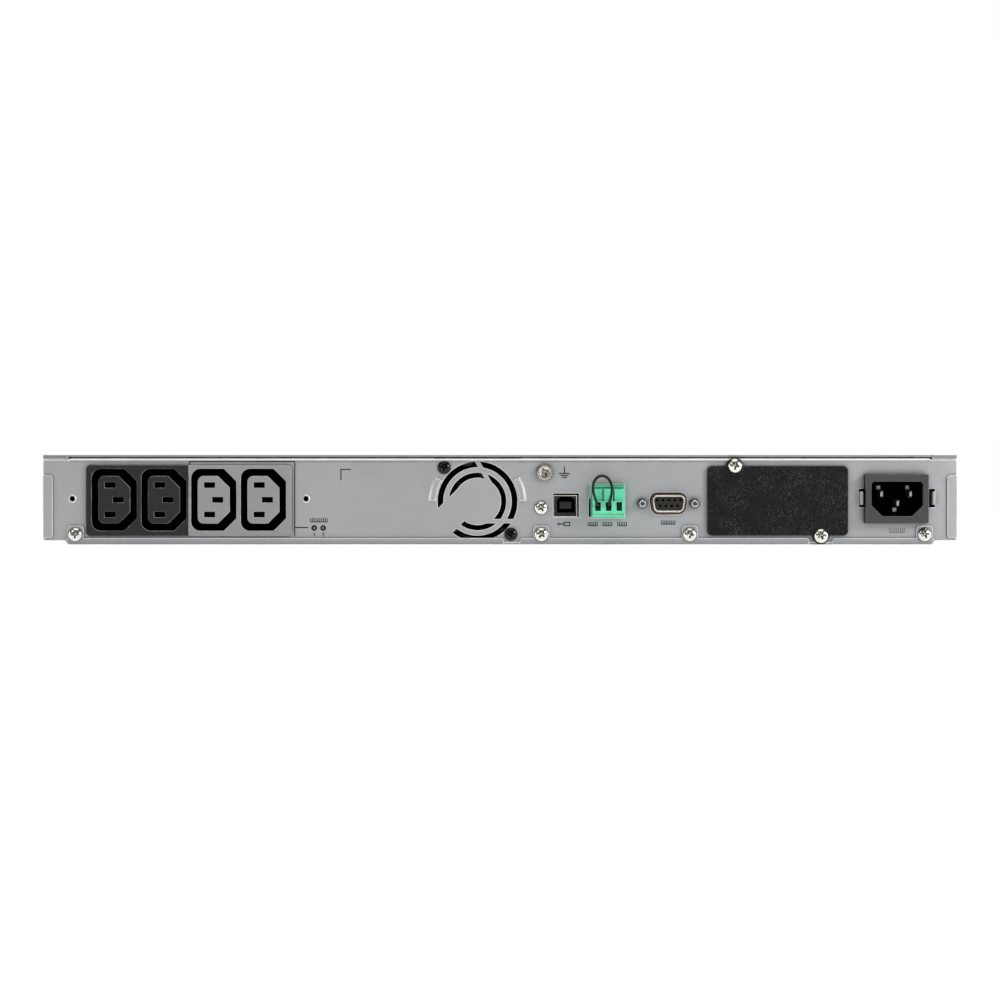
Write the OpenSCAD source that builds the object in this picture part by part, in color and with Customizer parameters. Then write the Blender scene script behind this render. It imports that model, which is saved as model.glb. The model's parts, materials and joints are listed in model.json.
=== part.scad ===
// One-rack-unit rackmount UPS, built as separate pieces.
// Millimetres. +Z up, -Y towards the front fascia, +Y towards the rear connector panel.
// The origin is under the middle of the body, on the plane that the base rests on.

/* [Chassis] */
// Width of the chassis, without the rack ears
chassis_w = 438; // [436:0.5:442]
// Height of the chassis, one rack unit less its clearance
chassis_h = 43; // [42.8:0.1:43.6]
// Depth from the front of the buttons to the rear panel
chassis_d = 364; // [360:1:400]
// Thickness of every folded steel sheet
sheet = 1; // [0.8:0.1:1.1]
// Width of the steps under the base that clear the rack's side rails
rail_step_w = 12; // [11:0.5:13]
// Height of those steps
rail_step_h = 1.9; // [1.5:0.1:2.2]

/* [Rack ears] */
// Width over both rack ears
rack_w = 482.6; // [482:0.1:483]
// Distance between the left and right rows of rack slots
rack_hole_w = 465.1; // [464:0.1:466]
// Distance between the upper and lower slots of an ear
rack_hole_h = 31.75; // [31:0.05:32]
// Length of a rack slot
rack_slot_l = 10; // [9:0.5:11]
// Radius of a rack slot's ends
rack_slot_r = 3.4; // [3:0.1:3.5]
// Thickness of the rack ears
ear_t = 2; // [1.5:0.1:2.5]

/* [Rear panel] */
// Middle of the outlet row, to the right of the panel's middle as seen from behind
outlet_u = -149; // [-150:0.5:-147]
// Distance from one outlet to the next
outlet_pitch = 23.8; // [23.6:0.1:24.2]
// Distance between the two holes for a cord retaining bracket
retainer_hole_w = 112; // [110:0.5:114]
// Middle of the fan
fan_u = -10.8; // [-14:0.1:-8]
// Size of the square fan
fan_size = 40; // [40:0.1:40.2]
// Distance that the terminal plug stands out behind the panel
terminal_reach = 12; // [11:0.5:14]
// Middle of the expansion slot's cover
slot_u = 133; // [131:0.5:134]
// Middle of the mains inlet
inlet_u = 189.5; // [188.5:0.1:190]
// Distance that the mains inlet stands out behind the panel
inlet_reach = 7; // [5:0.5:8]

/* [Front] */
// Depth of the moulded fascia and battery door
fascia_d = 24; // [22:1:26]
// Wall thickness of the mouldings
fascia_wall = 2.2; // [1.8:0.1:2.6]
// Travel of the small buttons
button_travel = 0.8; // [0.4:0.1:1]
// Diameter of the power button
power_d = 14; // [12:0.5:16]

/* [Battery] */
// Width of one battery block
battery_w = 94; // [92:0.5:94.5]
// Length of one battery block
battery_l = 151; // [148:0.5:152]
// Height of one battery block
battery_h = 34; // [32:0.5:34.5]

/* [Hidden] */
$fn = 48;

zinc = "#a9adaf";
nickel = "#d8d6d0";
black_plastic = "#2c2b2d";
grey_plastic = "#8f8f8e";
brass = "#c8a850";
board_green = "#1f5a34";
terminal_green = "#4fbf92";

eps = 0.01;       // overlap that keeps cuts clean
slip = 0.15;      // gap between pieces that slide or drop in
half_w = chassis_w / 2;
rear_y = (chassis_d - terminal_reach) / 2;     // outer face of the rear panel
button_proud = 0.6;                            // how far the buttons stand out of the fascia
front_y = button_proud - (chassis_d + terminal_reach) / 2;   // front face of the fascia
frame_y = front_y + fascia_d;                  // front face of the front frame
inner_y = rear_y - sheet;                      // inner face of the rear panel
floor_half = half_w - rail_step_w;             // half width of the lowest part of the base
lid_z = chassis_h - sheet;                     // underside of the top cover
flange_z = lid_z - sheet;                      // underside of the flanges below it

// ---- placing ----

// Local x to the right as seen from behind, y up, z outwards from the rear panel.
module rear_at(u, v, out = 0) {
    translate([-u, rear_y + out, v]) rotate([90, 0, 180]) children();
}

// Local x to the right as seen from the front, y up, z outwards from the fascia's front.
module front_at(u, v, out = 0) {
    translate([u, front_y - out, v]) rotate([90, 0, 0]) children();
}

module both_sides() {
    children();
    mirror([1, 0, 0]) children();
}

// A box from one corner to the opposite one.
module span(low, high) {
    translate(low) cube(high - low);
}

// ---- outlines ----

function unit(v) = v / norm(v);

// The points of an arc of radius r that rounds corner b between neighbours a and c.
function corner_arc(a, b, c, r, steps) =
    r <= 0 ? [b] :
    let (
        to_a = unit(a - b),
        to_c = unit(c - b),
        half = acos(to_a * to_c) / 2,
        centre = b + unit(to_a + to_c) * (r / sin(half)),
        first = b + to_a * (r / tan(half)) - centre,
        last = b + to_c * (r / tan(half)) - centre,
        start = atan2(first.y, first.x),
        turn = atan2(last.y, last.x) - start,
        sweep = turn > 180 ? turn - 360 : turn < -180 ? turn + 360 : turn
    )
    [for (i = [0:steps]) centre + r * [cos(start + sweep * i / steps), sin(start + sweep * i / steps)]];

// A closed outline with each corner rounded by its own radius.
function rounded(points, radii, steps = 6) =
    let (n = len(points))
    [for (i = [0:n - 1])
        each corner_arc(points[(i + n - 1) % n], points[i], points[(i + 1) % n], radii[i], steps)];

function box_points(w, h) = [[-w / 2, -h / 2], [w / 2, -h / 2], [w / 2, h / 2], [-w / 2, h / 2]];

// A plate with rounded corners, centred in x and y, from z = 0 up.
module plate(w, h, t, r) {
    linear_extrude(t) polygon(rounded(box_points(w, h), [r, r, r, r]));
}

// A box centred in x and y, from z = 0 up.
module block(w, h, t) {
    translate([-w / 2, -h / 2, 0]) cube([w, h, t]);
}

// A slot with round ends along x.
module slot_hole(l, r, t) {
    for (side = [-1, 1]) translate([side * (l / 2 - r), 0, 0]) cylinder(h = t, r = r);
    translate([-(l / 2 - r), -r, 0]) cube([l - 2 * r, 2 * r, t]);
}

// ---- fasteners ----

// A pan head with a cross recess, its seat at z = 0 and its shank below.
module pan_screw(head_r, head_h, shank_r, shank_l) {
    dome_r = (head_r * head_r + head_h * head_h) / (2 * head_h);
    dome_half = asin(head_r / dome_r);
    recess_l = head_r * 1.1;
    recess_w = head_r * 0.24;
    difference() {
        rotate_extrude() polygon(concat(
            [[0, 0], [head_r, 0]],
            [for (i = [0:8])
                let (a = dome_half * (1 - i / 8))
                [dome_r * sin(a), head_h * 0.35 + (dome_r * cos(a) - dome_r + head_h) * 0.65]]));
        for (turn = [0, 90]) rotate([0, 0, turn + 45])
            translate([0, 0, head_h * 0.45]) block(recess_l, recess_w, head_h);
    }
    translate([0, 0, -shank_l]) cylinder(h = shank_l + eps, r = shank_r);
}

// A countersunk screw whose flat top is at z = 0.
module flush_screw(head_r, head_h, shank_r, shank_l) {
    difference() {
        union() {
            translate([0, 0, -head_h]) cylinder(h = head_h, r1 = shank_r, r2 = head_r);
            translate([0, 0, -shank_l]) cylinder(h = shank_l - head_h + eps, r = shank_r);
        }
        for (turn = [0, 90]) rotate([0, 0, turn])
            translate([0, 0, -head_h * 0.6]) block(head_r * 1.1, head_r * 0.24, head_h);
    }
}

// The hole that takes a countersunk screw whose top is at z = 0.
module flush_hole(head_r, head_h, shank_r, depth) {
    translate([0, 0, -head_h]) cylinder(h = head_h + eps, r1 = shank_r, r2 = head_r + eps);
    translate([0, 0, -depth]) cylinder(h = depth, r = shank_r);
}

// ---- base, panels and cover ----

lip_h = 3.2;             // height of the base's rear lip
tab_h = 9.1;             // height of its screw tabs
tab_w = 7.8;             // width of its screw tabs
lip_r = 1.5;             // rounding of its upper corners
lip_cut = 2.2;           // length of the cut corners at its ends
lip_over = 1.2;          // how far it runs past the floor's sides
tab_screw_v = 4.9;       // height of the tab screws
tab_us = [-203.4, 19.8, 91, 203.4];
board_screw = [19.8, 17.6];
panel_hole_r = 1.8;      // hole for a panel screw
panel_shank_r = 1.65;
panel_head_r = 3.4;
return_w = 4.7;          // width of the side walls' returns over the rear panel
return_low = 3.2;
return_high = 33.3;
fan_v = fan_size / 2 + sheet;
fan_hole = fan_size * 0.4;                 // half the distance between fan screws
fan_screw_at = [[-fan_hole, fan_hole], [fan_hole, -fan_hole]];
slot_v = 21;
slot_cover_w = 67.2;
slot_cover_h = 33.2;
slot_screw_at = [[-20.5, 16.7], [20.7, -16.7]];
fan_gap = [fan_u + fan_hole - 3.3, fan_u + fan_hole + 4.2];   // gap in the lip round its lower screw
slot_gap_w = 11.2;       // gap in the lip round the slot cover's lower screw

ear_screw_at = [[14, 12], [14, 31], [44, 12], [44, 31]];   // from the ear's plane, and up
ear_y = frame_y + 4;     // rear face of the ears' front flanges
ear_back = 56;           // length of the ears' side flanges
lid_screw_ys = [frame_y + 20, frame_y + 125, frame_y + 230, rear_y - 12];
lid_screw_in = 7;        // from the side walls to the cover's screws

module lip_run(from_u, to_u) {
    rear_at(0, 0) {
        linear_extrude(sheet) polygon(rounded(
            [[from_u, 0], [to_u, 0], [to_u, lip_h], [from_u, lip_h]], [0, 0, lip_r, lip_r]));
        // joins it to the floor
        span([max(from_u, -floor_half), 0, -1], [min(to_u, floor_half), sheet, sheet / 2]);
    }
}

module base_tray() {
    color(zinc) difference() {
        union() {
            // floor, rail steps, side walls and top flanges, as one folded section
            translate([0, inner_y, 0]) rotate([90, 0, 0]) linear_extrude(inner_y - frame_y) polygon([
                [-floor_half, 0], [floor_half, 0], [floor_half, rail_step_h], [half_w, rail_step_h],
                [half_w, lid_z], [floor_half, lid_z], [floor_half, flange_z], [half_w - sheet, flange_z],
                [half_w - sheet, rail_step_h + sheet], [floor_half - sheet, rail_step_h + sheet],
                [floor_half - sheet, sheet], [-floor_half + sheet, sheet],
                [-floor_half + sheet, rail_step_h + sheet], [-half_w + sheet, rail_step_h + sheet],
                [-half_w + sheet, flange_z], [-floor_half, flange_z], [-floor_half, lid_z],
                [-half_w, lid_z], [-half_w, rail_step_h], [-floor_half, rail_step_h]]);
            // floor and top flanges run on to the rear panel's outer face
            span([-floor_half, inner_y - eps, 0], [floor_half, rear_y, sheet]);
            both_sides() span([floor_half, inner_y - eps, flange_z], [half_w, rear_y, lid_z]);
            // returns of the side walls, folded over the rear panel
            both_sides() {
                span([half_w - sheet, inner_y - eps, return_low], [half_w, rear_y + sheet, return_high]);
                translate([half_w, rear_y + sheet, (return_low + return_high) / 2]) rotate([90, 0, 0])
                    linear_extrude(sheet) polygon(rounded(
                        [[-return_w, -(return_high - return_low) / 2], [0, -(return_high - return_low) / 2],
                         [0, (return_high - return_low) / 2], [-return_w, (return_high - return_low) / 2]],
                        [1.6, 0, 0, 1.6]));
            }
            // rear lip, with gaps round two screws
            lip_run(-floor_half - lip_over, fan_gap[0]);
            lip_run(fan_gap[1], slot_u + slot_screw_at[1].x - slot_gap_w / 2);
            lip_run(slot_u + slot_screw_at[1].x + slot_gap_w / 2, floor_half + lip_over);
            for (u = tab_us) rear_at(u, 0) linear_extrude(sheet) polygon(rounded(
                [[-tab_w / 2, 0], [tab_w / 2, 0], [tab_w / 2, tab_h], [-tab_w / 2, tab_h]],
                [0, 0, 1.6, 1.6]));
        }
        for (u = tab_us) rear_at(u, tab_screw_v, -eps) cylinder(h = sheet + 2 * eps, r = panel_hole_r);
        // cut corners at the ends of the rear lip
        both_sides() translate([floor_half + lip_over, rear_y + sheet / 2, 0]) rotate([0, 45, 0])
            cube([lip_cut, 2 * sheet, lip_cut], center = true);
        both_sides() {
            for (p = ear_screw_at) translate([half_w - sheet - 1, ear_y + p.x, p.y])
                rotate([0, 90, 0]) cylinder(h = sheet + 2, r = panel_hole_r);
            for (y = lid_screw_ys) translate([half_w - lid_screw_in, y, flange_z - 1])
                cylinder(h = sheet + 2, r = 1.4);
        }
    }
}

// A slit of the fan grille: a ring between two radii.
module grille_ring(inner_r, outer_r) {
    difference() {
        cylinder(h = 3 * sheet, r = outer_r, center = true);
        cylinder(h = 4 * sheet, r = inner_r, center = true);
    }
}

grille_v = fan_v - 0.3;

// Slits of the fan grille, with the solid spokes and band left out of them.
module fan_slits() {
    spoke_in = 8.5;
    spoke_out = 10.45;
    flat_v = -17.9;
    far = 30;
    difference() {
        union() {
            grille_ring(16.4, 19.2);
            grille_ring(11.35, 13.85);
        }
        span([0, -spoke_out, -far], [far, -spoke_in, far]);
        rotate([0, 0, 120]) span([0, -spoke_out, -far], [far, -spoke_in, far]);
        rotate([0, 0, 225]) span([-1, -11.05, -far], [far, 2.1, far]);
        span([-far, -far, -far], [far, flat_v, far]);
    }
}

// Raised pads either side of the fan grille.
module fan_pads() {
    pad_in = 19.9;
    pad_out = 23.5;
    pad_h = 1;
    slope = 0.9;
    span_angle = 29;
    for (start = [1, 180 - 1 - span_angle]) rotate([0, 0, start]) rotate_extrude(angle = span_angle)
        polygon([[pad_in, -eps], [pad_out, -eps], [pad_out - slope, pad_h], [pad_in + 0.3, pad_h]]);
}

// A round hole through the rear panel.
module panel_hole(u, v, r) {
    rear_at(u, v, -2 * sheet) cylinder(h = 4 * sheet, r = r);
}

// A rectangular hole through the rear panel, with a gap round what passes it.
module panel_window(u, v, w, h, gap = 0) {
    rear_at(u, v, -2 * sheet) block(w + 2 * gap, h + 2 * gap, 4 * sheet);
}

module panel_holes() {
    for (p = fan_screw_at) panel_hole(fan_u + p.x, fan_v + p.y, panel_hole_r);
    for (u = tab_us) panel_hole(u, tab_screw_v, panel_hole_r);
    panel_hole(board_screw.x, board_screw.y, panel_hole_r);
    for (p = slot_screw_at) panel_hole(slot_u + p.x, slot_v + p.y, panel_hole_r);
    for (side = [-1, 1]) panel_hole(outlet_u + side * retainer_hole_w / 2, retainer_v, retainer_hole_r);
    panel_hole(ground_u, ground_v, ground_shank_r + 0.15);
    for (side = [-1, 1]) panel_hole(serial_u + side * serial_screw_u, serial_v, 1.7);
    panel_window(outlet_u, outlet_v, 2 * outlet_body_w, outlet_body_h);
    panel_window(inlet_u, inlet_v, inlet_body_w, inlet_body_h, slip);
    for (u = anchor_slot_us) panel_window(inlet_u + u, anchor_v, anchor_slot_w, anchor_slot_h);
    rear_at(usb_u, usb_v) span([-usb_w / 2 - slip, -usb_h / 2 - slip, -2 * sheet],
                               [usb_w / 2 + usb_gap, usb_h / 2 + usb_gap, sheet]);
    rear_at(terminal_u, terminal_v) span([-header_w / 2 - slip, header_low - slip, -2 * sheet],
                                         [header_w / 2 + slip, header_top + slip, sheet]);
    // relief beside the lower half of the terminal header
    rear_at(terminal_u, terminal_v) span([-header_w / 2 - 1, plug_low, -2 * sheet], [0, 1.3, sheet]);
    rear_at(slot_u, slot_v, -2 * sheet) plate(slot_open_w, slot_open_h, 4 * sheet, 1.5);
    rear_at(serial_u, serial_v, -2 * sheet) linear_extrude(4 * sheet)
        polygon(d_outline(serial_w + 2.9, serial_h + 2.4, 3.7));
    rear_at(fan_u, grille_v) fan_slits();
}

module rear_panel() {
    bend_r = 2.2;
    flange_l = 12;
    corner_x = floor_half - 0.5;       // the folded edge and the full height end here
    top_z = lid_z - 0.35;              // leaves a gap under the cover
    notch_gap = 0.1;
    rim_h = 0.3;
    color(zinc) difference() {
        union() {
            // sheet with its upper edge folded forwards under the cover
            translate([corner_x, 0, 0]) rotate([90, 0, -90]) linear_extrude(2 * corner_x) polygon(rounded([
                [-rear_y, sheet], [-rear_y, top_z], [-rear_y + flange_l, top_z],
                [-rear_y + flange_l, top_z - sheet], [-inner_y, top_z - sheet], [-inner_y, sheet]],
                [0, bend_r, 0, 0, bend_r - sheet, 0]));
            both_sides() span([corner_x - eps, inner_y, rail_step_h], [half_w, rear_y, flange_z - 0.2]);
            rear_at(fan_u, grille_v) fan_pads();
            // rims of the tapped holes
            for (side = [-1, 1]) rear_at(outlet_u + side * retainer_hole_w / 2, retainer_v, -eps)
                cylinder(h = rim_h + eps, r1 = retainer_hole_r + 0.6, r2 = retainer_hole_r + 0.3);
        }
        // notches for the side walls' returns
        both_sides() span([half_w - sheet - notch_gap / 2, inner_y - 1, return_low - notch_gap],
                          [half_w + 1, rear_y + 1, return_high + notch_gap]);
        // room for the fan under the folded edge
        span([-fan_u - fan_size / 2 - 1, rear_y - flange_l - 1, flange_z - bend_r],
             [-fan_u + fan_size / 2 + 1, inner_y, chassis_h]);
        panel_holes();
    }
}

module top_cover() {
    fold_t = 0.6;
    fold_h = 0.8;            // how far its rear corners are folded down
    fold_x = 207.2;
    fold_gap = 0.05;
    color(zinc) difference() {
        union() {
            span([-half_w, frame_y, lid_z], [half_w, rear_y, chassis_h]);
            both_sides() {
                span([fold_x, rear_y - 1, lid_z], [half_w, rear_y + fold_gap + fold_t, chassis_h]);
                span([fold_x, rear_y + fold_gap, lid_z - fold_h],
                     [half_w, rear_y + fold_gap + fold_t, chassis_h]);
            }
        }
        both_sides() for (y = lid_screw_ys) translate([half_w - lid_screw_in, y, chassis_h])
            flush_hole(2.6, 0.8, 1.6, 3);
    }
}

module top_cover_screws() {
    color(nickel) both_sides() for (y = lid_screw_ys)
        translate([half_w - lid_screw_in, y, chassis_h]) flush_screw(2.55, 0.75, 1.3, 5);
}

module rear_panel_screws() {
    color(nickel) {
        for (u = tab_us) rear_at(u, tab_screw_v, sheet) pan_screw(panel_head_r, 2.1, panel_shank_r, 6);
        rear_at(board_screw.x, board_screw.y) pan_screw(3.3, 2, panel_shank_r, 6);
    }
}

bay_low_x = -205.9;      // battery bay
bay_high_x = -12.4;
bay_back_y = 14;
door_split_x = -2;
tray_thumb_xs = [bay_low_x - 3.6, bay_high_x + 3.6];
door_clip_xs = [-190, -26];
fascia_clip_xs = [52, 196];
door_clip_z = 34.4;
fascia_clip_z = 38.7;
clip_w = 12;
clip_t = 1.2;
clip_gap = 0.4;          // gap round a clip in its slot
thumb_z = 21.5;

// A slot for a moulding's clip, through sheet near y.
module clip_slot(x, y, z) {
    span([x - clip_w / 2 - clip_gap, y - 3, z - clip_gap],
         [x + clip_w / 2 + clip_gap, y + 3, z + clip_t + clip_gap]);
}

// A round hole through the front frame or the tray's front plate.
module front_hole(x, z, r) {
    translate([x, frame_y - 2, z]) rotate([-90, 0, 0]) cylinder(h = 4, r = r);
}

// The steel frame across the front, which carries the fascia and stops the battery tray.
module front_frame() {
    intake_r = 4;
    gap = 0.05;
    color(zinc) difference() {
        span([-half_w + sheet + gap, frame_y, sheet],
             [half_w - sheet - gap, frame_y + sheet, flange_z - gap]);
        both_sides() span([floor_half - sheet - gap, frame_y - 1, 0],
                          [half_w, frame_y + 2, rail_step_h + sheet + gap]);
        span([bay_low_x, frame_y - 1, 0], [bay_high_x, frame_y + 2, 38.5]);
        for (x = tray_thumb_xs) front_hole(x, thumb_z, 1.7);
        for (x = fascia_clip_xs) clip_slot(x, frame_y, fascia_clip_z);
        // air intakes on the electronics side
        for (x = [20:14:202], z = [10, 21.5, 33]) front_hole(x, z, intake_r);
    }
}

// The partition between the battery bay and the electronics.
module bay_wall() {
    wall_x = bay_high_x + 0.2;
    foot_w = 8;
    color(zinc) {
        span([wall_x, frame_y + sheet, sheet], [wall_x + sheet, bay_back_y, flange_z - 0.5]);
        span([wall_x, frame_y + sheet, sheet], [wall_x + foot_w, bay_back_y, 2 * sheet]);
    }
}

// ---- rack ears ----

module rack_ear() {
    ear_low = 0.5;
    ear_high = chassis_h - 0.5;
    bend_r = 3;
    slot_x = rack_hole_w / 2;
    difference() {
        translate([0, 0, ear_low]) linear_extrude(ear_high - ear_low) polygon(rounded(
            [[half_w, ear_y + ear_back], [half_w, ear_y - ear_t], [rack_w / 2, ear_y - ear_t],
             [rack_w / 2, ear_y], [half_w + ear_t, ear_y], [half_w + ear_t, ear_y + ear_back]],
            [0, bend_r, 0, 0, bend_r - ear_t, 0]));
        for (side = [-1, 1]) translate([slot_x, ear_y + 1, chassis_h / 2 + side * rack_hole_h / 2])
            rotate([90, 0, 0]) slot_hole(rack_slot_l, rack_slot_r, ear_t + 2);
        for (p = ear_screw_at) translate([half_w + ear_t, ear_y + p.x, p.y]) rotate([0, 90, 0])
            flush_hole(3.4, 1.6, 1.8, 4);
    }
}

module rack_ear_left() {
    color("#26272a") mirror([1, 0, 0]) rack_ear();
}

module rack_ear_right() {
    color("#26272a") rack_ear();
}

module rack_ear_screws() {
    color(nickel) both_sides() for (p = ear_screw_at)
        translate([half_w + ear_t, ear_y + p.x, p.y]) rotate([0, 90, 0]) flush_screw(3.3, 1.5, 1.65, 8);
}

// ---- mains outlets ----

outlet_v = 21.2;
outlet_rise = 0.3;       // height of the outlets above their block's middle
outlet_face_w = 2 * outlet_pitch + 1.65;   // width of one block of two outlets
outlet_face_h = 34;
outlet_body_w = outlet_face_w - 1.5;       // width of the part that passes the panel
outlet_body_h = 31.4;
outlet_proud = 1.6;                        // how far the blocks stand out
outlet_depth = 26;                         // how far they reach in
retainer_v = 22;
retainer_hole_r = 1.3;
recess_w = 21.7;
recess_h = 29.7;
core_w = 15.3;
core_h = 22.8;
recess_depth = 17;
slot_depth = 20;

// The outline shared by an outlet's recess and its core: two round corners, two cut ones.
function outlet_outline(w, h, r, cut) = rounded(
    [[-w / 2, -h / 2], [w / 2 - cut, -h / 2], [w / 2, -h / 2 + cut],
     [w / 2, h / 2 - cut], [w / 2 - cut, h / 2], [-w / 2, h / 2]],
    [r, 1, 1, 1, 1, r]);

// Cuts one outlet's recess round its core, and the core's three contact slots.
module outlet_cut() {
    slot_l = 5.3;
    slot_w = 2.7;
    difference() {
        translate([0, 0, -recess_depth]) linear_extrude(recess_depth + 1)
            polygon(outlet_outline(recess_w, recess_h, 4.4, 6));
        translate([0, 0, -recess_depth - 1]) linear_extrude(recess_depth + 1)
            polygon(outlet_outline(core_w, core_h, 2.8, 5.6));
    }
    for (p = contact_at) translate([p.x, p.y, -slot_depth]) block(slot_l, slot_w, slot_depth + 1);
}

contact_at = [[-2, 7.05], [1.9, 0], [-2, -7.05]];

// A block of two outlets; side is -1 for the left block and 1 for the right, seen from behind.
module outlet_block(side) {
    joint_gap = 0.03;
    inner_edge = side * joint_gap;
    outer_edge = side * outlet_face_w;
    corner = 2;
    rear_at(outlet_u, outlet_v) difference() {
        union() {
            linear_extrude(outlet_proud) polygon(rounded(
                [[inner_edge, -outlet_face_h / 2], [outer_edge, -outlet_face_h / 2],
                 [outer_edge, outlet_face_h / 2], [inner_edge, outlet_face_h / 2]], [0, corner, corner, 0]));
            body_edge = side * (outlet_body_w - slip);
            translate([min(inner_edge, body_edge), -outlet_body_h / 2 + slip, -outlet_depth])
                cube([abs(body_edge - inner_edge), outlet_body_h - 2 * slip, outlet_depth + eps]);
        }
        for (i = [0, 1]) translate([side * (i + 0.5) * outlet_pitch, outlet_rise, outlet_proud]) outlet_cut();
    }
}

module outlet_block_dark() {
    color("#333335") outlet_block(-1);
}

module outlet_block_grey() {
    color(grey_plastic) outlet_block(1);
}

// Spring contacts, deep in the outlets' slots.
module outlet_contacts() {
    color(brass) rear_at(outlet_u, outlet_v + outlet_rise, outlet_proud - slot_depth)
        for (i = [-1.5:1.5], p = contact_at) translate([i * outlet_pitch + p.x, p.y, 0]) block(4.4, 1.8, 10);
}

// ---- mains inlet ----

inlet_v = 22;
inlet_w = 29.9;
inlet_h = 23.4;
inlet_body_w = 27.4;
inlet_body_h = 20.6;
inlet_cavity_w = 24.8;
inlet_cavity_h = 16.5;
inlet_cavity_depth = 16.5;
inlet_depth = 20;
pin_recess = 4.4;        // how far the pins' tips lie below the rim
pin_at = [[-7, 2.4], [7, 2.4], [0.8, -2.1]];
anchor_slot_us = [-16.1, 17.6];      // middles of the cord clip's slots, from the inlet's middle
anchor_us = [-16.25, 17.8];          // and of its anchors
anchor_v = 22.3;
anchor_slot_w = 2.9;
anchor_slot_h = 8.9;
cavity_v = -0.1;         // height of the cavity's middle over the inlet's

// The inlet cavity's outline: its two lower corners are cut off.
function inlet_outline(w, h, cut) = rounded(
    [[-w / 2, h / 2], [-w / 2, -h / 2 + cut], [-w / 2 + cut, -h / 2],
     [w / 2 - cut, -h / 2], [w / 2, -h / 2 + cut], [w / 2, h / 2]],
    [1.5, 1, 1, 1, 1, 1.5]);

module mains_inlet() {
    color("#454547") rear_at(inlet_u, inlet_v) difference() {
        union() {
            plate(inlet_w, inlet_h, inlet_reach, 0.4);
            translate([0, 0, -inlet_depth]) block(inlet_body_w, inlet_body_h, inlet_depth + eps);
        }
        translate([0, cavity_v, inlet_reach - inlet_cavity_depth]) linear_extrude(inlet_cavity_depth + 1)
            polygon(inlet_outline(inlet_cavity_w, inlet_cavity_h, 5.2));
        for (p = pin_at) translate([p.x, p.y + cavity_v, -inlet_depth - 1]) block(2.2, 4.2, inlet_depth);
    }
}

// The side view of a blade whose tip tapers by nose on each side.
function blade_side(w, l, tip, nose) =
    [[-w / 2, 0], [w / 2, 0], [w / 2, l - tip], [w / 2 - nose, l], [-w / 2 + nose, l], [-w / 2, l - tip]];

// One blade with its tip chamfered on all four sides.
module blade(w, h, l) {
    tip = 1.2;
    nose = 0.45;
    intersection() {
        translate([0, h, 0]) rotate([90, 0, 0]) linear_extrude(2 * h) polygon(blade_side(w, l, tip, nose));
        translate([-w, 0, 0]) rotate([90, 0, 90]) linear_extrude(2 * w)
            polygon(blade_side(h, l, tip, 2 * nose));
    }
}

// Three blades; they run on behind the body as solder tags, and each has a shoulder on the cavity's floor.
module inlet_pins() {
    tag = 5;
    floor_z = inlet_reach - inlet_cavity_depth;
    blade_l = inlet_depth + tag + inlet_reach - pin_recess;
    color(nickel) rear_at(inlet_u, inlet_v + cavity_v) for (p = pin_at) {
        outward = p.y > 0 ? 1 : -1;
        translate([p.x, p.y, -inlet_depth - tag]) blade(2, 4, blade_l);
        translate([p.x - 1, p.y + (outward > 0 ? 2 - eps : -4.1), floor_z]) cube([2, 2.1 + eps, 1]);
    }
}

// The outline of a strap bent into a U, open towards the panel, with its legs inside.
function strap_outline(w, low, high, r) =
    rounded([[-w / 2, low], [w / 2, low], [w / 2, high], [-w / 2, high]], [0, 0, r, r]);

// Strap loops beside the inlet that take the ends of a wire cord clip.
module cord_clip_anchors() {
    strap_h = 6.4;
    strap_t = 0.6;
    loop_w = 2.3;
    bend_r = 1;
    leg_in = -3;
    reach = 4;
    color(nickel) for (u = anchor_us) rear_at(inlet_u + u, anchor_v)
        translate([0, strap_h / 2, 0]) rotate([90, 0, 0]) linear_extrude(strap_h) difference() {
            polygon(strap_outline(loop_w, leg_in, reach, bend_r));
            polygon(strap_outline(loop_w - 2 * strap_t, leg_in - 0.1, reach - strap_t, bend_r - strap_t));
        }
}

// ---- ground screw, USB, terminals, serial port ----

ground_u = 21.4;
ground_v = 34.6;
ground_shank_r = 2.4;

module ground_screw() {
    washer_r = 3.95;
    head_r = 3.5;
    head_h = 3;
    color(nickel) rear_at(ground_u, ground_v) {
        cylinder(h = 0.8, r = washer_r);
        difference() {
            intersection() {
                translate([0, 0, 0.8 - eps]) cylinder(h = head_h, r = head_r / cos(30), $fn = 6);
                translate([0, 0, -1]) cylinder(h = head_h + 1.8, r1 = head_r + 3, r2 = head_r * 0.94);
            }
            for (turn = [0, 90]) rotate([0, 0, turn + 20])
                translate([-2.1, -0.45, head_h - 0.9]) cube([4.2, 0.9, 2]);
        }
        translate([0, 0, -8]) cylinder(h = 8 + eps, r = ground_shank_r);
    }
}

usb_u = 31.25;
usb_v = 18.5;
usb_w = 11.4;
usb_h = 10.4;
usb_gap = 0.85;          // between it and its opening, above and on the side away from the fan
usb_proud = 0.6;
usb_depth = 16;
usb_wall = 0.35;

module usb_shell() {
    color(nickel) rear_at(usb_u, usb_v, -usb_depth) difference() {
        block(usb_w, usb_h, usb_depth + usb_proud);
        translate([0, 0, -1]) block(usb_w - 2 * usb_wall, usb_h - 2 * usb_wall, usb_depth + 3);
    }
}

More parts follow.
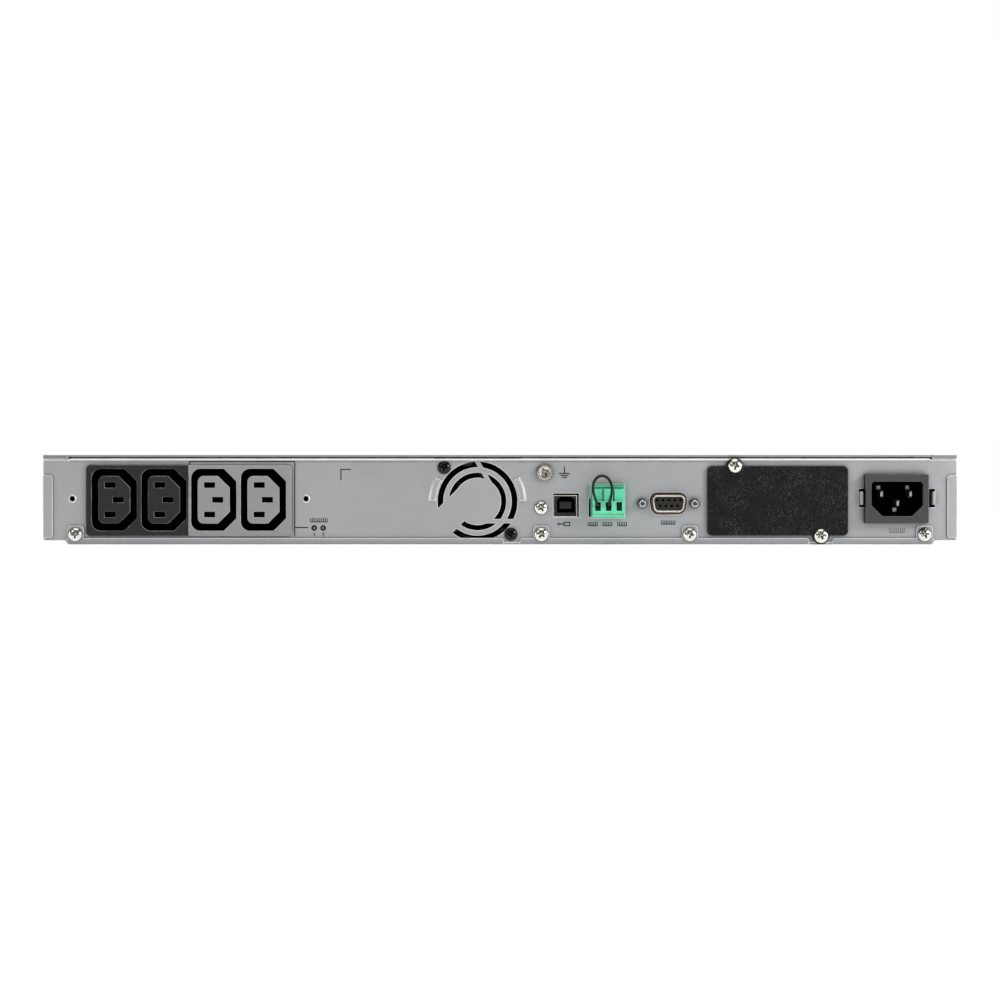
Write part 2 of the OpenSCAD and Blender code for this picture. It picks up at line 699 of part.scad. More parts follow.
module usb_tongue() {
    cavity_w = 8.7;
    cavity_h = 7.7;
    cavity_at = [0.4, 0.65]; // the opening's middle, from the insert's
    cut = 1.7;
    cavity_depth = 9;
    insert_w = usb_w - 2 * usb_wall - 0.04;
    insert_h = usb_h - 2 * usb_wall - 0.04;
    color("#1c1b1c") rear_at(usb_u, usb_v, -usb_depth) {
        difference() {
            block(insert_w, insert_h, usb_depth + usb_proud - 0.7);
            // the opening's two upper corners are cut off
            translate([cavity_at.x, cavity_at.y, usb_depth - cavity_depth])
                linear_extrude(cavity_depth + 2) polygon(
                [[-cavity_w / 2, -cavity_h / 2], [cavity_w / 2, -cavity_h / 2],
                 [cavity_w / 2, cavity_h / 2 - cut], [cavity_w / 2 - cut, cavity_h / 2],
                 [-cavity_w / 2 + cut, cavity_h / 2], [-cavity_w / 2, cavity_h / 2 - cut]]);
        }
        translate([-2.65, -1.25, usb_depth - cavity_depth - eps]) cube([5.6, 3.3, cavity_depth - 1]);
    }
}

terminal_u = 51.6;
terminal_v = 20.8;
pole_pitch = 5.08;
header_w = 16.2;
header_top = 8.2;        // from the terminal's middle
header_low = -7.85;
header_proud = 3;
header_wall = 0.75;
plug_w = 3 * pole_pitch - 0.1;
plug_low = -7.4;
wire_hole_v = -2.45;     // wire entries, below the terminal's middle
poles = [-1, 0, 1];
clamp_z = 6.6;           // middle of the clamp screws, out from the panel

module terminal_header() {
    depth = 9;
    plug_gap = 0.12;
    color(terminal_green) rear_at(terminal_u, terminal_v, -depth) difference() {
        span([-header_w / 2, header_low, 0], [header_w / 2, header_top, depth + header_proud]);
        span([-plug_w / 2 - plug_gap, plug_low + header_wall - plug_gap, 2],
             [plug_w / 2 + plug_gap, header_top - header_wall + plug_gap, depth + header_proud + 1]);
    }
}

// The plug pulls straight out of the header. Its screws are reached from above and wires enter from behind.
module terminal_plug() {
    inner = -6.8;        // the end inside the header
    top = header_top - header_wall;
    screw_top = top - 1.75;      // surface that the clamp screws are turned from
    shelf = 0.05;        // top of the wire-entry face
    low = plug_low + header_wall;
    groove = 0.8;
    color(terminal_green) rear_at(terminal_u, terminal_v) difference() {
        translate([-plug_w / 2, 0, 0]) rotate([90, 0, 90]) linear_extrude(plug_w) polygon(
            [[low, inner], [top, inner], [top, header_proud + 1], [top - 0.5, header_proud + 1],
             [top - 0.5, header_proud + 0.2], [screw_top, header_proud + 0.2],
             [screw_top, terminal_reach - 2.8], [shelf, terminal_reach - 2.5], [shelf, terminal_reach],
             [plug_low + 1.6, terminal_reach], [plug_low + 1.3, terminal_reach - 0.6],
             [plug_low + 1, terminal_reach - 0.6], [plug_low + 0.7, terminal_reach - 0.2],
             [plug_low, terminal_reach - 0.2], [plug_low, header_proud + 0.1], [low, header_proud + 0.1]]);
        for (i = poles) {
            translate([i * pole_pitch, wire_hole_v, 2]) block(2.7, 4.2, terminal_reach);
            translate([i * pole_pitch, 0, clamp_z]) rotate([-90, 0, 0]) cylinder(h = 20, r = 1.75);
            translate([i * pole_pitch, -1, clamp_z]) rotate([-90, 0, 0]) cylinder(h = 2, r = 1.1);
        }
        for (i = [-0.5, 0.5]) translate([i * pole_pitch - groove / 2, shelf, terminal_reach - 4])
            cube([groove, 10, 10]);
    }
}

// Clamp screws in the plug's wells. Each presses its wire down on a saddle in the wire entry.
module terminal_clamps() {
    head_r = 1.6;
    head_h = 1.6;
    saddle_h = 1.1;
    saddle_gap = 0.08;
    color(nickel) for (i = poles) rear_at(terminal_u + i * pole_pitch, terminal_v) {
        translate([0, 0.02, clamp_z]) rotate([-90, 0, 0]) difference() {
            cylinder(h = head_h, r = head_r);
            translate([-2, -0.25, head_h - 0.7]) cube([4, 0.5, 2]);
        }
        translate([0, wire_hole_v + jumper_d / 2 + 0.05, clamp_z]) rotate([-90, 0, 0])
            cylinder(h = 0.02 - wire_hole_v - jumper_d / 2, r = 1);
        translate([-1.15, wire_hole_v - jumper_d / 2 - saddle_gap - saddle_h, 2.2])
            cube([2.3, saddle_h, 4.4]);
    }
}

// The jumper wire's centre line, from the left terminal round to the middle one: across, up and out.
jumper_d = 1.3;
jumper_points = [
    [-5.1, -2.45, 5.4], [-5.1, -2.45, 8.4], [-5.1, -2.45, 10.4], [-5.1, -2.35, 12],
    [-5.3, -1.7, 13.8], [-6, 0, 14.8], [-6.8, 2.3, 15], [-7.4, 4.8, 14.6],
    [-7.5, 7.2, 14], [-6.9, 9.5, 13.5], [-5.7, 11.2, 13.2], [-3.9, 12.1, 13],
    [-2, 12, 13], [-0.2, 10.8, 13.2], [1, 8.9, 13.5], [1.6, 6.7, 14],
    [1.5, 4.5, 14.6], [1, 2.2, 15], [0.4, 0, 14.8], [0.1, -1.6, 13.8],
    [0, -2.35, 12], [0, -2.45, 10.4], [0, -2.45, 8.4], [0, -2.45, 5.4],
];

function cross_to(d, ref) = unit(cross(d, ref));

// One ring of a tube at point p, square to direction d. ref is any direction that d is never along.
function ring_points(p, d, r, sides, ref) =
    let (side = cross_to(d, ref), up = cross(side, d))
    [for (k = [0:sides - 1]) p + r * (cos(360 * k / sides) * side + sin(360 * k / sides) * up)];

// A closed tube of the given diameter along a line of points.
module tube(line, d, sides, ref) {
    n = len(line);
    rings = [for (i = [0:n - 1])
        ring_points(line[i], unit(line[min(i + 1, n - 1)] - line[max(i - 1, 0)]), d / 2, sides, ref)];
    polyhedron(
        points = [for (ring = rings) each ring],
        faces = concat(
            [[for (k = [0:sides - 1]) sides - 1 - k]],
            [for (i = [0:n - 2], k = [0:sides - 1])
                let (next = (k + 1) % sides)
                [i * sides + k, i * sides + next, (i + 1) * sides + next, (i + 1) * sides + k]],
            [[for (k = [0:sides - 1]) (n - 1) * sides + k]]));
}

module jumper_wire() {
    color("#181818") rear_at(terminal_u, terminal_v) tube(jumper_points, jumper_d, 8, [1, 0.01, 0]);
}

serial_u = 80.7;
serial_v = 19.7;
serial_w = 16.5;
serial_h = 8.2;
serial_proud = 4.6;
serial_screw_u = 12.5;
serial_wall = 0.8;

// A D-shaped outline, wider at the top, with round corners.
function d_outline(w, h, r) =
    let (lean = h * tan(10))
    rounded([[-w / 2 + lean, -h / 2], [w / 2 - lean, -h / 2], [w / 2, h / 2], [-w / 2, h / 2]], [r, r, r, r]);

module serial_shell() {
    flange_t = 0.8;
    collar_t = 0.8;          // step at the foot of the shell
    shell_r = 2.5;
    color(nickel) rear_at(serial_u, serial_v) difference() {
        union() {
            linear_extrude(serial_proud) polygon(d_outline(serial_w, serial_h, shell_r));
            translate([0, 0, -sheet - eps]) linear_extrude(sheet + collar_t)
                polygon(d_outline(serial_w + 1.7, serial_h + 1.3, shell_r + 0.6));
            translate([0, 0, -sheet - flange_t]) plate(30.8, 12.4, flange_t, 1);
        }
        translate([0, 0, -5]) linear_extrude(serial_proud + 6)
            polygon(d_outline(serial_w - 2 * serial_wall, serial_h - 2 * serial_wall, shell_r - serial_wall));
        for (side = [-1, 1]) translate([side * serial_screw_u, 0, -5]) cylinder(h = 10, r = 1.7);
    }
}

module serial_insert() {
    pin_pitch = 2.77;
    row_vs = [1.7, -1.1];
    gap = 0.04;
    color("#1b1b1c") rear_at(serial_u, serial_v, -12) difference() {
        linear_extrude(12 + serial_proud - 0.5)
            polygon(d_outline(serial_w - 2 * (serial_wall + gap), serial_h - 2 * (serial_wall + gap), 1.65));
        for (i = [-2:2]) translate([i * pin_pitch, row_vs[0], 6]) cylinder(h = 20, r = 0.62, $fn = 24);
        for (i = [-1.5:1.5]) translate([i * pin_pitch, row_vs[1], 6]) cylinder(h = 20, r = 0.62, $fn = 24);
    }
}

jack_thread_r = 1.3;
jack_l = 4.8;

module serial_jackscrews() {
    color(nickel) for (side = [-1, 1]) rear_at(serial_u + side * serial_screw_u, serial_v) difference() {
        union() {
            cylinder(h = jack_l, r = 2.4, $fn = 6);
            translate([0, 0, -7]) cylinder(h = 7 + eps, r = 1.5);
        }
        translate([0, 0, -1]) cylinder(h = jack_l + 2, r = jack_thread_r);
    }
}

// ---- expansion slot ----

slot_open_w = 58;
slot_open_h = 25;
cover_t = 2.4;
cover_head_r = 3.5;

module slot_cover() {
    ear_r = 4;
    spigot_l = sheet + 1.2;
    color(black_plastic) rear_at(slot_u, slot_v) difference() {
        union() {
            plate(slot_cover_w, slot_cover_h, cover_t, 2.2);
            // pads that carry the two screws
            for (p = slot_screw_at) translate([p.x, p.y, 0]) cylinder(h = cover_t, r = ear_r);
            // spigot that locates the cover in the panel's opening
            translate([0, 0, -spigot_l])
                plate(slot_open_w - 2 * slip, slot_open_h - 2 * slip, spigot_l + eps, 1.4);
        }
        for (p = slot_screw_at) translate([p.x, p.y, -1]) cylinder(h = cover_t + 2, r = 1.8);
        translate([0, 0, -3]) plate(slot_open_w - 4, slot_open_h - 4, 3, 1);
    }
}

module slot_cover_screws() {
    color(nickel) for (p = slot_screw_at) rear_at(slot_u + p.x, slot_v + p.y, cover_t)
        pan_screw(cover_head_r, 2.2, panel_shank_r, 7.5);
}

// Channels that an expansion card slides in.
module card_guides() {
    guide_l = 110;
    guide_h = 30;
    foot_h = 4.9;
    guide_w = 3.6;
    groove_w = 1.6;
    clearance = 0.4;
    from_slot = slot_open_w / 2 + guide_w / 2 + clearance;
    color("#2a2c2f") for (side = [-1, 1])
        rear_at(slot_u + side * from_slot, slot_v, -guide_l - sheet) difference() {
            translate([-guide_w / 2, -guide_h / 2 - foot_h, 0]) cube([guide_w, guide_h + foot_h, guide_l]);
            translate([-groove_w / 2 - side * guide_w / 2, -7, -1]) cube([groove_w, 1.9, guide_l + 2]);
        }
}

// ---- fan ----

fan_depth = 20;
fan_bore_r = 19;
fan_hub_r = 11;
fan_shaft_r = 1.5;

module fan_frame() {
    strut_w = 2.4;
    tube_l = fan_depth - 6 + eps;
    color("#202022") rear_at(fan_u, fan_v, -sheet - fan_depth) {
        difference() {
            block(fan_size - 0.1, fan_size - 0.1, fan_depth);
            translate([0, 0, -1]) cylinder(h = fan_depth + 2, r = fan_bore_r);
            for (x = [-1, 1], y = [-1, 1]) translate([x * fan_hole, y * fan_hole, -1])
                cylinder(h = fan_depth + 2, r = panel_hole_r);
        }
        // motor plate on its struts, behind the grille
        translate([0, 0, fan_depth - 2]) {
            cylinder(h = 2, r = fan_hub_r);
            for (turn = [0, 120, 240]) intersection() {
                rotate([0, 0, turn]) translate([0, -9.4 - strut_w / 2, 0]) cube([fan_size, strut_w, 2]);
                cylinder(h = 2, r = fan_size / 2 - 0.5);
            }
        }
        // fixed bearing tube that the rotor's shaft runs in
        translate([0, 0, 4]) difference() {
            cylinder(h = tube_l, r = 3);
            translate([0, 0, -1]) cylinder(h = tube_l - 1, r = fan_shaft_r + 0.05);
        }
    }
}

module fan_rotor() {
    blades = 7;
    blade_reach = 7.6;
    blade_w = 13;
    blade_t = 0.9;
    blade_pitch = 38;
    hub_h = 14;
    color("#1a1a1c") rear_at(fan_u, fan_v, -sheet - fan_depth + 2) {
        difference() {
            cylinder(h = hub_h, r = fan_hub_r - 0.5);
            translate([0, 0, 1.5]) cylinder(h = hub_h, r = fan_hub_r - 2);
        }
        cylinder(h = hub_h - 1.6, r = fan_shaft_r);
        for (i = [0:blades - 1]) rotate([0, 0, i * 360 / blades])
            translate([fan_hub_r - 1, 0, hub_h / 2]) rotate([blade_pitch, 0, 0])
                translate([0, -blade_t / 2, -blade_w / 2]) cube([blade_reach, blade_t, blade_w]);
    }
}

module fan_screws() {
    color("#1d1d1f") for (p = fan_screw_at) rear_at(fan_u + p.x, fan_v + p.y) pan_screw(3.15, 1.9, 1.6, 9);
}

// ---- electronics inside ----

board_z = 6;
board_t = 1.6;
board_low = [-88, 30];
board_high = [208, 146];
standoff_at = [[-82, 36], [-82, 140], [60, 36], [60, 140], [202, 36], [202, 140]];

module main_board() {
    color(board_green) difference() {
        span([board_low.x, board_low.y, board_z], [board_high.x - slip, board_high.y, board_z + board_t]);
        for (p = standoff_at) translate([p.x, p.y, board_z - 1]) cylinder(h = 4, r = 1.6);
    }
}

// Standoffs under the board with their screws above it.
module board_standoffs() {
    color(brass) for (p = standoff_at) translate([p.x, p.y, sheet]) {
        cylinder(h = board_z - sheet, r = 2.6, $fn = 6);
        cylinder(h = board_z + board_t - sheet + 0.5, r = 1.5);
        translate([0, 0, board_z + board_t - sheet]) cylinder(h = 1.8, r = 2.8);
    }
}

core_at = [112, -82];
core_l = 114;
core_d = 96;
core_stack = 26;
core_z = 5;              // height of the core above the floor
leg = 19;                // width of the core's outer legs, half that of its middle leg
core_bolt_at = [core_l / 2 - 8, core_d / 2 - 8];

module transformer_core() {
    window_l = (core_l - 4 * leg) / 2;
    color("#4a4a4c") translate([core_at.x, core_at.y, sheet]) difference() {
        translate([0, 0, core_z]) block(core_l, core_d, core_stack);
        for (side = [-1, 1]) translate([side * (leg + window_l / 2), 0, core_z - 1])
            block(window_l, core_d - 2 * leg, core_stack + 2);
        for (x = [-1, 1], y = [-1, 1]) translate([x * core_bolt_at.x, y * core_bolt_at.y, core_z - 1])
            cylinder(h = core_stack + 2, r = 2.3);
    }
}

module transformer_coil() {
    gap = 0.3;
    wall = (core_l - 4 * leg) / 2 - 2 * gap;
    coil_l = core_d - 2 * leg - 2 * gap;
    color("#b8792e") translate([core_at.x, core_at.y, sheet]) difference() {
        translate([0, 0, 1]) block(2 * (leg + gap + wall), coil_l, core_stack + 8);
        translate([0, 0, core_z - gap]) block(2 * (leg + gap), 2 * coil_l, core_stack + 2 * gap);
    }
}

// Spacers under the core with the bolts that hold it down.
module transformer_mounts() {
    head_h = 3;
    color(nickel) for (x = [-1, 1], y = [-1, 1])
        translate([core_at.x + x * core_bolt_at.x, core_at.y + y * core_bolt_at.y, sheet]) {
            cylinder(h = core_z, r = 4.5);
            cylinder(h = core_z + core_stack + eps, r = 2.1);
            translate([0, 0, core_z + core_stack]) cylinder(h = head_h, r = 4.5, $fn = 6);
        }
}

module heatsink() {
    fins = 9;
    fin_pitch = 3;
    sink_l = 90;
    back_t = 3;
    color("#b4b7ba") translate([70, 60, board_z + board_t]) {
        cube([sink_l, back_t, 28]);
        for (i = [0:fins - 1]) translate([0, back_t - eps, 2 + i * fin_pitch]) cube([sink_l, 18, 1.2]);
    }
}

module capacitors() {
    color("#20304f") for (x = [-60, -36, -12, 12]) translate([x, 56, board_z + board_t]) {
        cylinder(h = 30, r = 9);
        translate([0, 0, 30 - eps]) cylinder(h = 0.6, r = 8);
    }
}

module relays() {
    color("#30343a") for (x = [90, 118, 146, 174]) translate([x, 112, board_z + board_t])
        plate(21, 16, 16, 0.8);
}

module comm_board() {
    top = 12.9;
    color(board_green) span([-98, 128, top - board_t], [-22, inner_y - 2, top]);
}

// ---- battery ----

tray_low_z = sheet + 0.25;
tray_front = frame_y - sheet;
tray_back = -2;
tray_wall_h = 28;
battery_front = frame_y + 7;
battery_z = tray_low_z + sheet + 0.1;
battery_back = battery_front + battery_l;
battery_low_x = bay_low_x + 1.9;
battery_high_x = bay_high_x - 1.9 - battery_w;
dock_x = (bay_low_x + bay_high_x) / 2;
dock_z = 10;
dock_w = 40;
dock_h = 15;
dock_in = 4;             // from the plug's sides to its nose
dock_low = 2.5;          // and from its lower side
nose_w = dock_w - 2 * dock_in;
nose_h = dock_h - 2 * dock_low;

module battery_tray() {
    low_x = bay_low_x + 0.4;
    high_x = bay_high_x - 0.4;
    color(zinc) difference() {
        union() {
            span([low_x, frame_y, tray_low_z], [high_x, tray_back, tray_low_z + sheet]);
            for (x = [low_x, high_x - sheet])
                span([x, frame_y, tray_low_z], [x + sheet, tray_back, tray_wall_h]);
            span([low_x, tray_back - sheet, tray_low_z], [high_x, tray_back, tray_wall_h]);
            // folded front edge, with the wider plate that stops against the front frame
            span([low_x, frame_y, tray_low_z], [high_x, frame_y + sheet, 6]);
            span([low_x, frame_y - eps, 3], [high_x, frame_y + sheet, 6]);
            span([bay_low_x - 7, tray_front, 2.8], [bay_high_x + 7.2, frame_y, 38]);
        }
        for (x = tray_thumb_xs) front_hole(x, thumb_z, 1.7);
        for (x = door_clip_xs) clip_slot(x, frame_y, door_clip_z);
    }
}

module battery_block() {
    difference() {
        cube([battery_w, battery_l, battery_h]);
        translate([-1, battery_l - 8, battery_h - 9]) cube([battery_w + 2, 9, 10]);
    }
}

module battery_block_left() {
    color("#3a3d42") translate([battery_low_x, battery_front, battery_z]) battery_block();
}

module battery_block_right() {
    color("#3a3d42") translate([battery_high_x, battery_front, battery_z]) battery_block();
}

module battery_terminals() {
    color(brass) for (x = [battery_low_x, battery_high_x], side = [12, battery_w - 18])
        translate([x + side, battery_back - 8, battery_z + battery_h - 6]) cube([6.3, 7, 0.8]);
}

// The tray's half of the battery connector, which docks as the tray slides home.
module battery_plug() {
    color("#8b2020") translate([dock_x - dock_w / 2, tray_back, dock_z]) {
        cube([dock_w, 4, dock_h]);
        translate([dock_in, 4 - eps, dock_low]) cube([nose_w, 11, nose_h]);
    }
}

module battery_socket() {
    gap = 0.3;
    color("#2b2b2e") translate([dock_x - dock_w / 2, tray_back + 4.4, sheet]) difference() {
        cube([dock_w, 16, dock_z + dock_h]);
        translate([dock_in - gap, -1, dock_z - sheet + dock_low - gap])
            cube([nose_w + 2 * gap, 13, nose_h + 2 * gap]);
    }
}

// A bent rod to pull the tray by.
module battery_handle() {
    rod_r = 2;
    grip = 70;
    stand = 12;
    z = 15;
    y = tray_front;
    color(nickel) {
        for (side = [-1, 1]) translate([dock_x + side * grip / 2, y, z]) {
            rotate([90, 0, 0]) cylinder(h = stand, r = rod_r);
            translate([0, -stand, 0]) sphere(r = rod_r);
        }
        translate([dock_x - grip / 2, y - stand, z]) rotate([0, 90, 0]) cylinder(h = grip, r = rod_r);
    }
}

module battery_thumbscrews() {
    head_r = 3.4;
    grooves = 12;
    color(nickel) for (x = tray_thumb_xs) translate([x, tray_front, thumb_z]) rotate([90, 0, 0]) {
        difference() {
            cylinder(h = 5.5, r = head_r);
            for (i = [0:grooves - 1]) rotate([0, 0, i * 360 / grooves]) translate([head_r + 0.1, 0, 1])
                cylinder(h = 6, r = 0.35, $fn = 16);
        }
        translate([0, 0, -6]) cylinder(h = 6 + eps, r = 1.5);
    }
}

// ---- front mouldings ----

fascia_low = 0.4;
fascia_high = chassis_h - 0.1;
fascia_mid = (fascia_low + fascia_high) / 2;
vent_h = 2.8;
vent_pitch = 5.6;
vent_rows = [-2.5:2.5];
window_u = 92;
window_v = 26.2;
window_w = 64;
window_h = 22;
button_v = 7.6;
button_r = 3.6;
button_us = [68, 84, 100, 116];
power_u = 201;
led_u = 48;
led_vs = [33.6, 28.6, 23.6, 18.6];
led_r = 1.25;

// A hollow moulding between two x positions, open at the back.
module moulding(low_x, high_x) {
    corner = 3;
    difference() {
        translate([0, 0, fascia_low]) linear_extrude(fascia_high - fascia_low) polygon(rounded(
            [[low_x, front_y], [high_x, front_y], [high_x, frame_y], [low_x, frame_y]],
            [low_x < -200 ? corner : 0.6, high_x > 200 ? corner : 0.6, 0, 0]));
        span([low_x + fascia_wall, front_y + fascia_wall, fascia_low + fascia_wall],
             [high_x - fascia_wall, frame_y + 1, fascia_high - fascia_wall]);
    }
}

// A round hole through the fascia's front wall.
module fascia_hole(u, v, r) {
    front_at(u, v, -fascia_wall - 1) cylinder(h = fascia_wall + 2, r = r);
}

// Rows of long slots for air, centred at u.
module vents(u, l) {
    for (row = vent_rows) front_at(u, fascia_mid + row * vent_pitch, -fascia_wall - 1)
        slot_hole(l, vent_h / 2, fascia_wall + 2);
}

// A flat clip at height z, hung from the moulding's top wall and reaching back past the frame.
module moulding_clip(x, z) {
    reach = 4;
    root = 8;
    span([x - clip_w / 2, frame_y - root, z], [x + clip_w / 2, frame_y + reach, z + clip_t]);
    span([x - clip_w / 2, frame_y - root, z], [x + clip_w / 2, frame_y - root + 2, fascia_high - 1]);
}

module control_fascia() {
    boss_h = board_front - fascia_wall;
    color(black_plastic) {
        difference() {
            moulding(door_split_x, half_w);
            vents(22, 32);
            vents(159, 52);
            front_at(window_u, window_v, -fascia_wall - 1) plate(window_w, window_h, fascia_wall + 2, 2);
            for (u = button_us) fascia_hole(u, button_v, button_r + 0.25);
            fascia_hole(power_u, fascia_mid, power_d / 2 + 0.3);
            for (v = led_vs) fascia_hole(led_u, v, led_r + 0.05);
        }
        // bosses that the control board is staked to
        for (p = stake_at) front_at(control_u + p.x, fascia_mid + p.y) {
            translate([0, 0, -board_front]) cylinder(h = boss_h + eps, r = 3);
            translate([0, 0, -board_front - board_t - 1]) cylinder(h = board_t + 2, r = stake_r);
        }
        for (x = fascia_clip_xs) moulding_clip(x, fascia_clip_z);
    }
}

module battery_door() {
    color(black_plastic) {
        difference() {
            moulding(-half_w, door_split_x - 0.4);
            for (u = [-168, -102, -36]) vents(u, 56);
            // finger hold at the outer end
            translate([-half_w - 1, front_y + 9, fascia_mid - 9]) cube([fascia_wall + 2, 10, 18]);
        }
        for (x = door_clip_xs) moulding_clip(x, door_clip_z);
    }
}

board_front = 9;         // control board's front face, behind the fascia's front
control_u = 120;         // middle of the control board
stake_at = [[-84, -13], [-84, 13], [84, -13], [84, 13]];
stake_r = 1.4;
switch_h = 2.2;
window_t = 1.2;          // thickness of the display window's flange

module display_window() {
    color("#1a2230") front_at(window_u, window_v) {
        translate([0, 0, -fascia_wall - 0.1]) plate(window_w - 0.2, window_h - 0.2, fascia_wall - 0.2, 1.9);
        translate([0, 0, -fascia_wall - window_t]) plate(window_w + 4, window_h + 4, window_t - 0.02, 2);
    }
}

module display_module() {
    module_t = board_front - fascia_wall - window_t - 0.1;
    color("#7f96a8") front_at(window_u, window_v, -board_front)
        plate(window_w + 2, window_h + 2, module_t, 0.5);
}

// The board behind the fascia, with push switches behind the buttons.
module control_board() {
    switch_w = 6;
    color(board_green) front_at(control_u, fascia_mid, -board_front - board_t) difference() {
        plate(180, 34, board_t, 1);
        for (p = stake_at) translate([p.x, p.y, -1]) cylinder(h = 4, r = stake_r + 0.1);
    }
    color("#303234") for (p = concat([for (u = button_us) [u, button_v]], [[power_u, fascia_mid]]))
        front_at(p.x, p.y, -board_front - eps) block(switch_w, switch_w, switch_h + eps);
}

// A round button whose stem ends just short of its switch when pressed.
module push_button(r, travel) {
    flange_t = 1.2;
    stem_r = 2;
    stem_end = -board_front + switch_h + travel + 0.15;
    flange_gap = 0.05;       // between the flange and the fascia behind which it rests
    flange_end = -fascia_wall - flange_gap - flange_t;
    translate([0, 0, flange_end]) cylinder(h = flange_t + flange_gap + fascia_wall + button_proud, r = r);
    translate([0, 0, flange_end]) cylinder(h = flange_t, r = r + 1.2);
    translate([0, 0, stem_end]) cylinder(h = flange_end - stem_end + eps, r = stem_r);
}

module small_button(i) {
    color("#3b3d40") front_at(button_us[i], button_v) push_button(button_r, button_travel);
}

module escape_button() small_button(0);
module up_button() small_button(1);
module down_button() small_button(2);
module enter_button() small_button(3);

module power_button() {
    color("#c9ccce") front_at(power_u, fascia_mid) push_button(power_d / 2, 1);
}

// Light pipes between the board and the fascia.
module status_lights() {
    color("#8fd19e") for (v = led_vs) front_at(led_u, v, -board_front) cylinder(h = board_front, r = led_r);
}

base_tray();
rear_panel();
top_cover();
front_frame();
bay_wall();
top_cover_screws();
rear_panel_screws();
rack_ear_left();
rack_ear_right();
rack_ear_screws();
outlet_block_dark();
outlet_block_grey();
outlet_contacts();
mains_inlet();
inlet_pins();
cord_clip_anchors();
ground_screw();
usb_shell();
usb_tongue();
terminal_header();
terminal_plug();
terminal_clamps();
jumper_wire();
serial_shell();
serial_insert();
serial_jackscrews();
slot_cover();
slot_cover_screws();
card_guides();
fan_frame();
fan_rotor();
fan_screws();
main_board();
board_standoffs();
transformer_core();
transformer_coil();
transformer_mounts();
heatsink();
capacitors();
relays();
comm_board();
battery_socket();
battery_tray();
battery_block_left();
battery_block_right();
battery_terminals();
battery_plug();
battery_handle();
battery_thumbscrews();
control_fascia();
battery_door();
display_window();
display_module();
control_board();
power_button();
escape_button();
up_button();
down_button();
enter_button();
status_lights();
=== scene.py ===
"""Looks of the rackmount UPS: finishes for its nodes, detail pieces, floor, lights and camera."""
import json
import math

import bmesh
import bpy
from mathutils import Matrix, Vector


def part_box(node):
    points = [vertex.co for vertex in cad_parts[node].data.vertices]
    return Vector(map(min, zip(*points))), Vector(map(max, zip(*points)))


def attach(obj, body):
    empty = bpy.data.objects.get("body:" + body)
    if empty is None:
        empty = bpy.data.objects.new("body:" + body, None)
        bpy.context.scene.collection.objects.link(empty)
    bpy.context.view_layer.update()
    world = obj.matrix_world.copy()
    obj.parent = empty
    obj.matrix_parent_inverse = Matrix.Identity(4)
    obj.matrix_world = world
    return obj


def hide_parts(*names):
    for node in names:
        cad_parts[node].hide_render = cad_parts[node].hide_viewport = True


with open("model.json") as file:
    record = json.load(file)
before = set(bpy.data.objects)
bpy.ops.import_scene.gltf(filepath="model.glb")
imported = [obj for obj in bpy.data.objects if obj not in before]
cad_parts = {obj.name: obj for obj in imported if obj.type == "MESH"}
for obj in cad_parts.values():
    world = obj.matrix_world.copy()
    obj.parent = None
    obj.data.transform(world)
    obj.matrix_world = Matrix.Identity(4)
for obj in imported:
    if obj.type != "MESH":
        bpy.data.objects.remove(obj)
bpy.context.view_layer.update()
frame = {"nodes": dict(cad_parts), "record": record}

MM = 0.001
EDGE_ANGLE = math.radians(32)      # edges sharper than this are rounded


# ---- places: the rear face taken from the imported frame, and given directions and heights ----

def mount(name):
    """The record's mount of that name."""
    return next(m for m in frame["record"]["mounts"] if m["name"] == name)


def solids(node):
    """The vertices' places of each separate solid of a node, in order of their lowest corners."""
    mesh = bmesh.new()
    mesh.from_mesh(frame["nodes"][node].data)
    bmesh.ops.remove_doubles(mesh, verts=mesh.verts, dist=1e-6)
    left = set(mesh.verts)
    found = []
    while left:
        stack = [left.pop()]
        places = []
        while stack:
            vert = stack.pop()
            places.append(vert.co.copy())
            for edge in vert.link_edges:
                other = edge.other_vert(vert)
                if other in left:
                    left.remove(other)
                    stack.append(other)
        found.append(places)
    mesh.free()
    return sorted(found, key=lambda places: [round(c, 5) for c in corners(places)[0]])


def corners(places):
    """Lowest and highest corner of some places."""
    low = Vector(min(p[i] for p in places) for i in range(3))
    high = Vector(max(p[i] for p in places) for i in range(3))
    return low, high


REAR_Y = mount("cord_bracket_holes")["pos_m"][1]      # outer face of the rear panel
LEFT, RIGHT = -1, 1
VIEW_RIGHT = Vector((-1, 0, 0))
UP = Vector((0, 0, 1))
BACKWARDS = Vector((0, 1, 0))
LIGHT_SIDE = (-0.75, 0.1, 0.65)      # where the edges catch the light
PANEL_BEND_HIGHLIGHT = (0.0405, 0.0417)        # from and to these heights, a painted highlight lies along the rear panel's bent upper edge


def on_rear(u, v, out=0.0):
    """The point u to the viewer's right of the centre, v up and out from the rear panel, all in mm."""
    return Vector((-u * MM, REAR_Y + out * MM, v * MM))


# ---- materials ----

def srgb(red, green, blue):
    """Linear colour of an sRGB value given in 0 to 255."""
    def linear(value):
        value /= 255
        return value / 12.92 if value <= 0.04045 else ((value + 0.055) / 1.055) ** 2.4
    return (linear(red), linear(green), linear(blue), 1.0)


def grey(value):
    """Linear colour of a neutral sRGB grey."""
    return srgb(value, value, value)


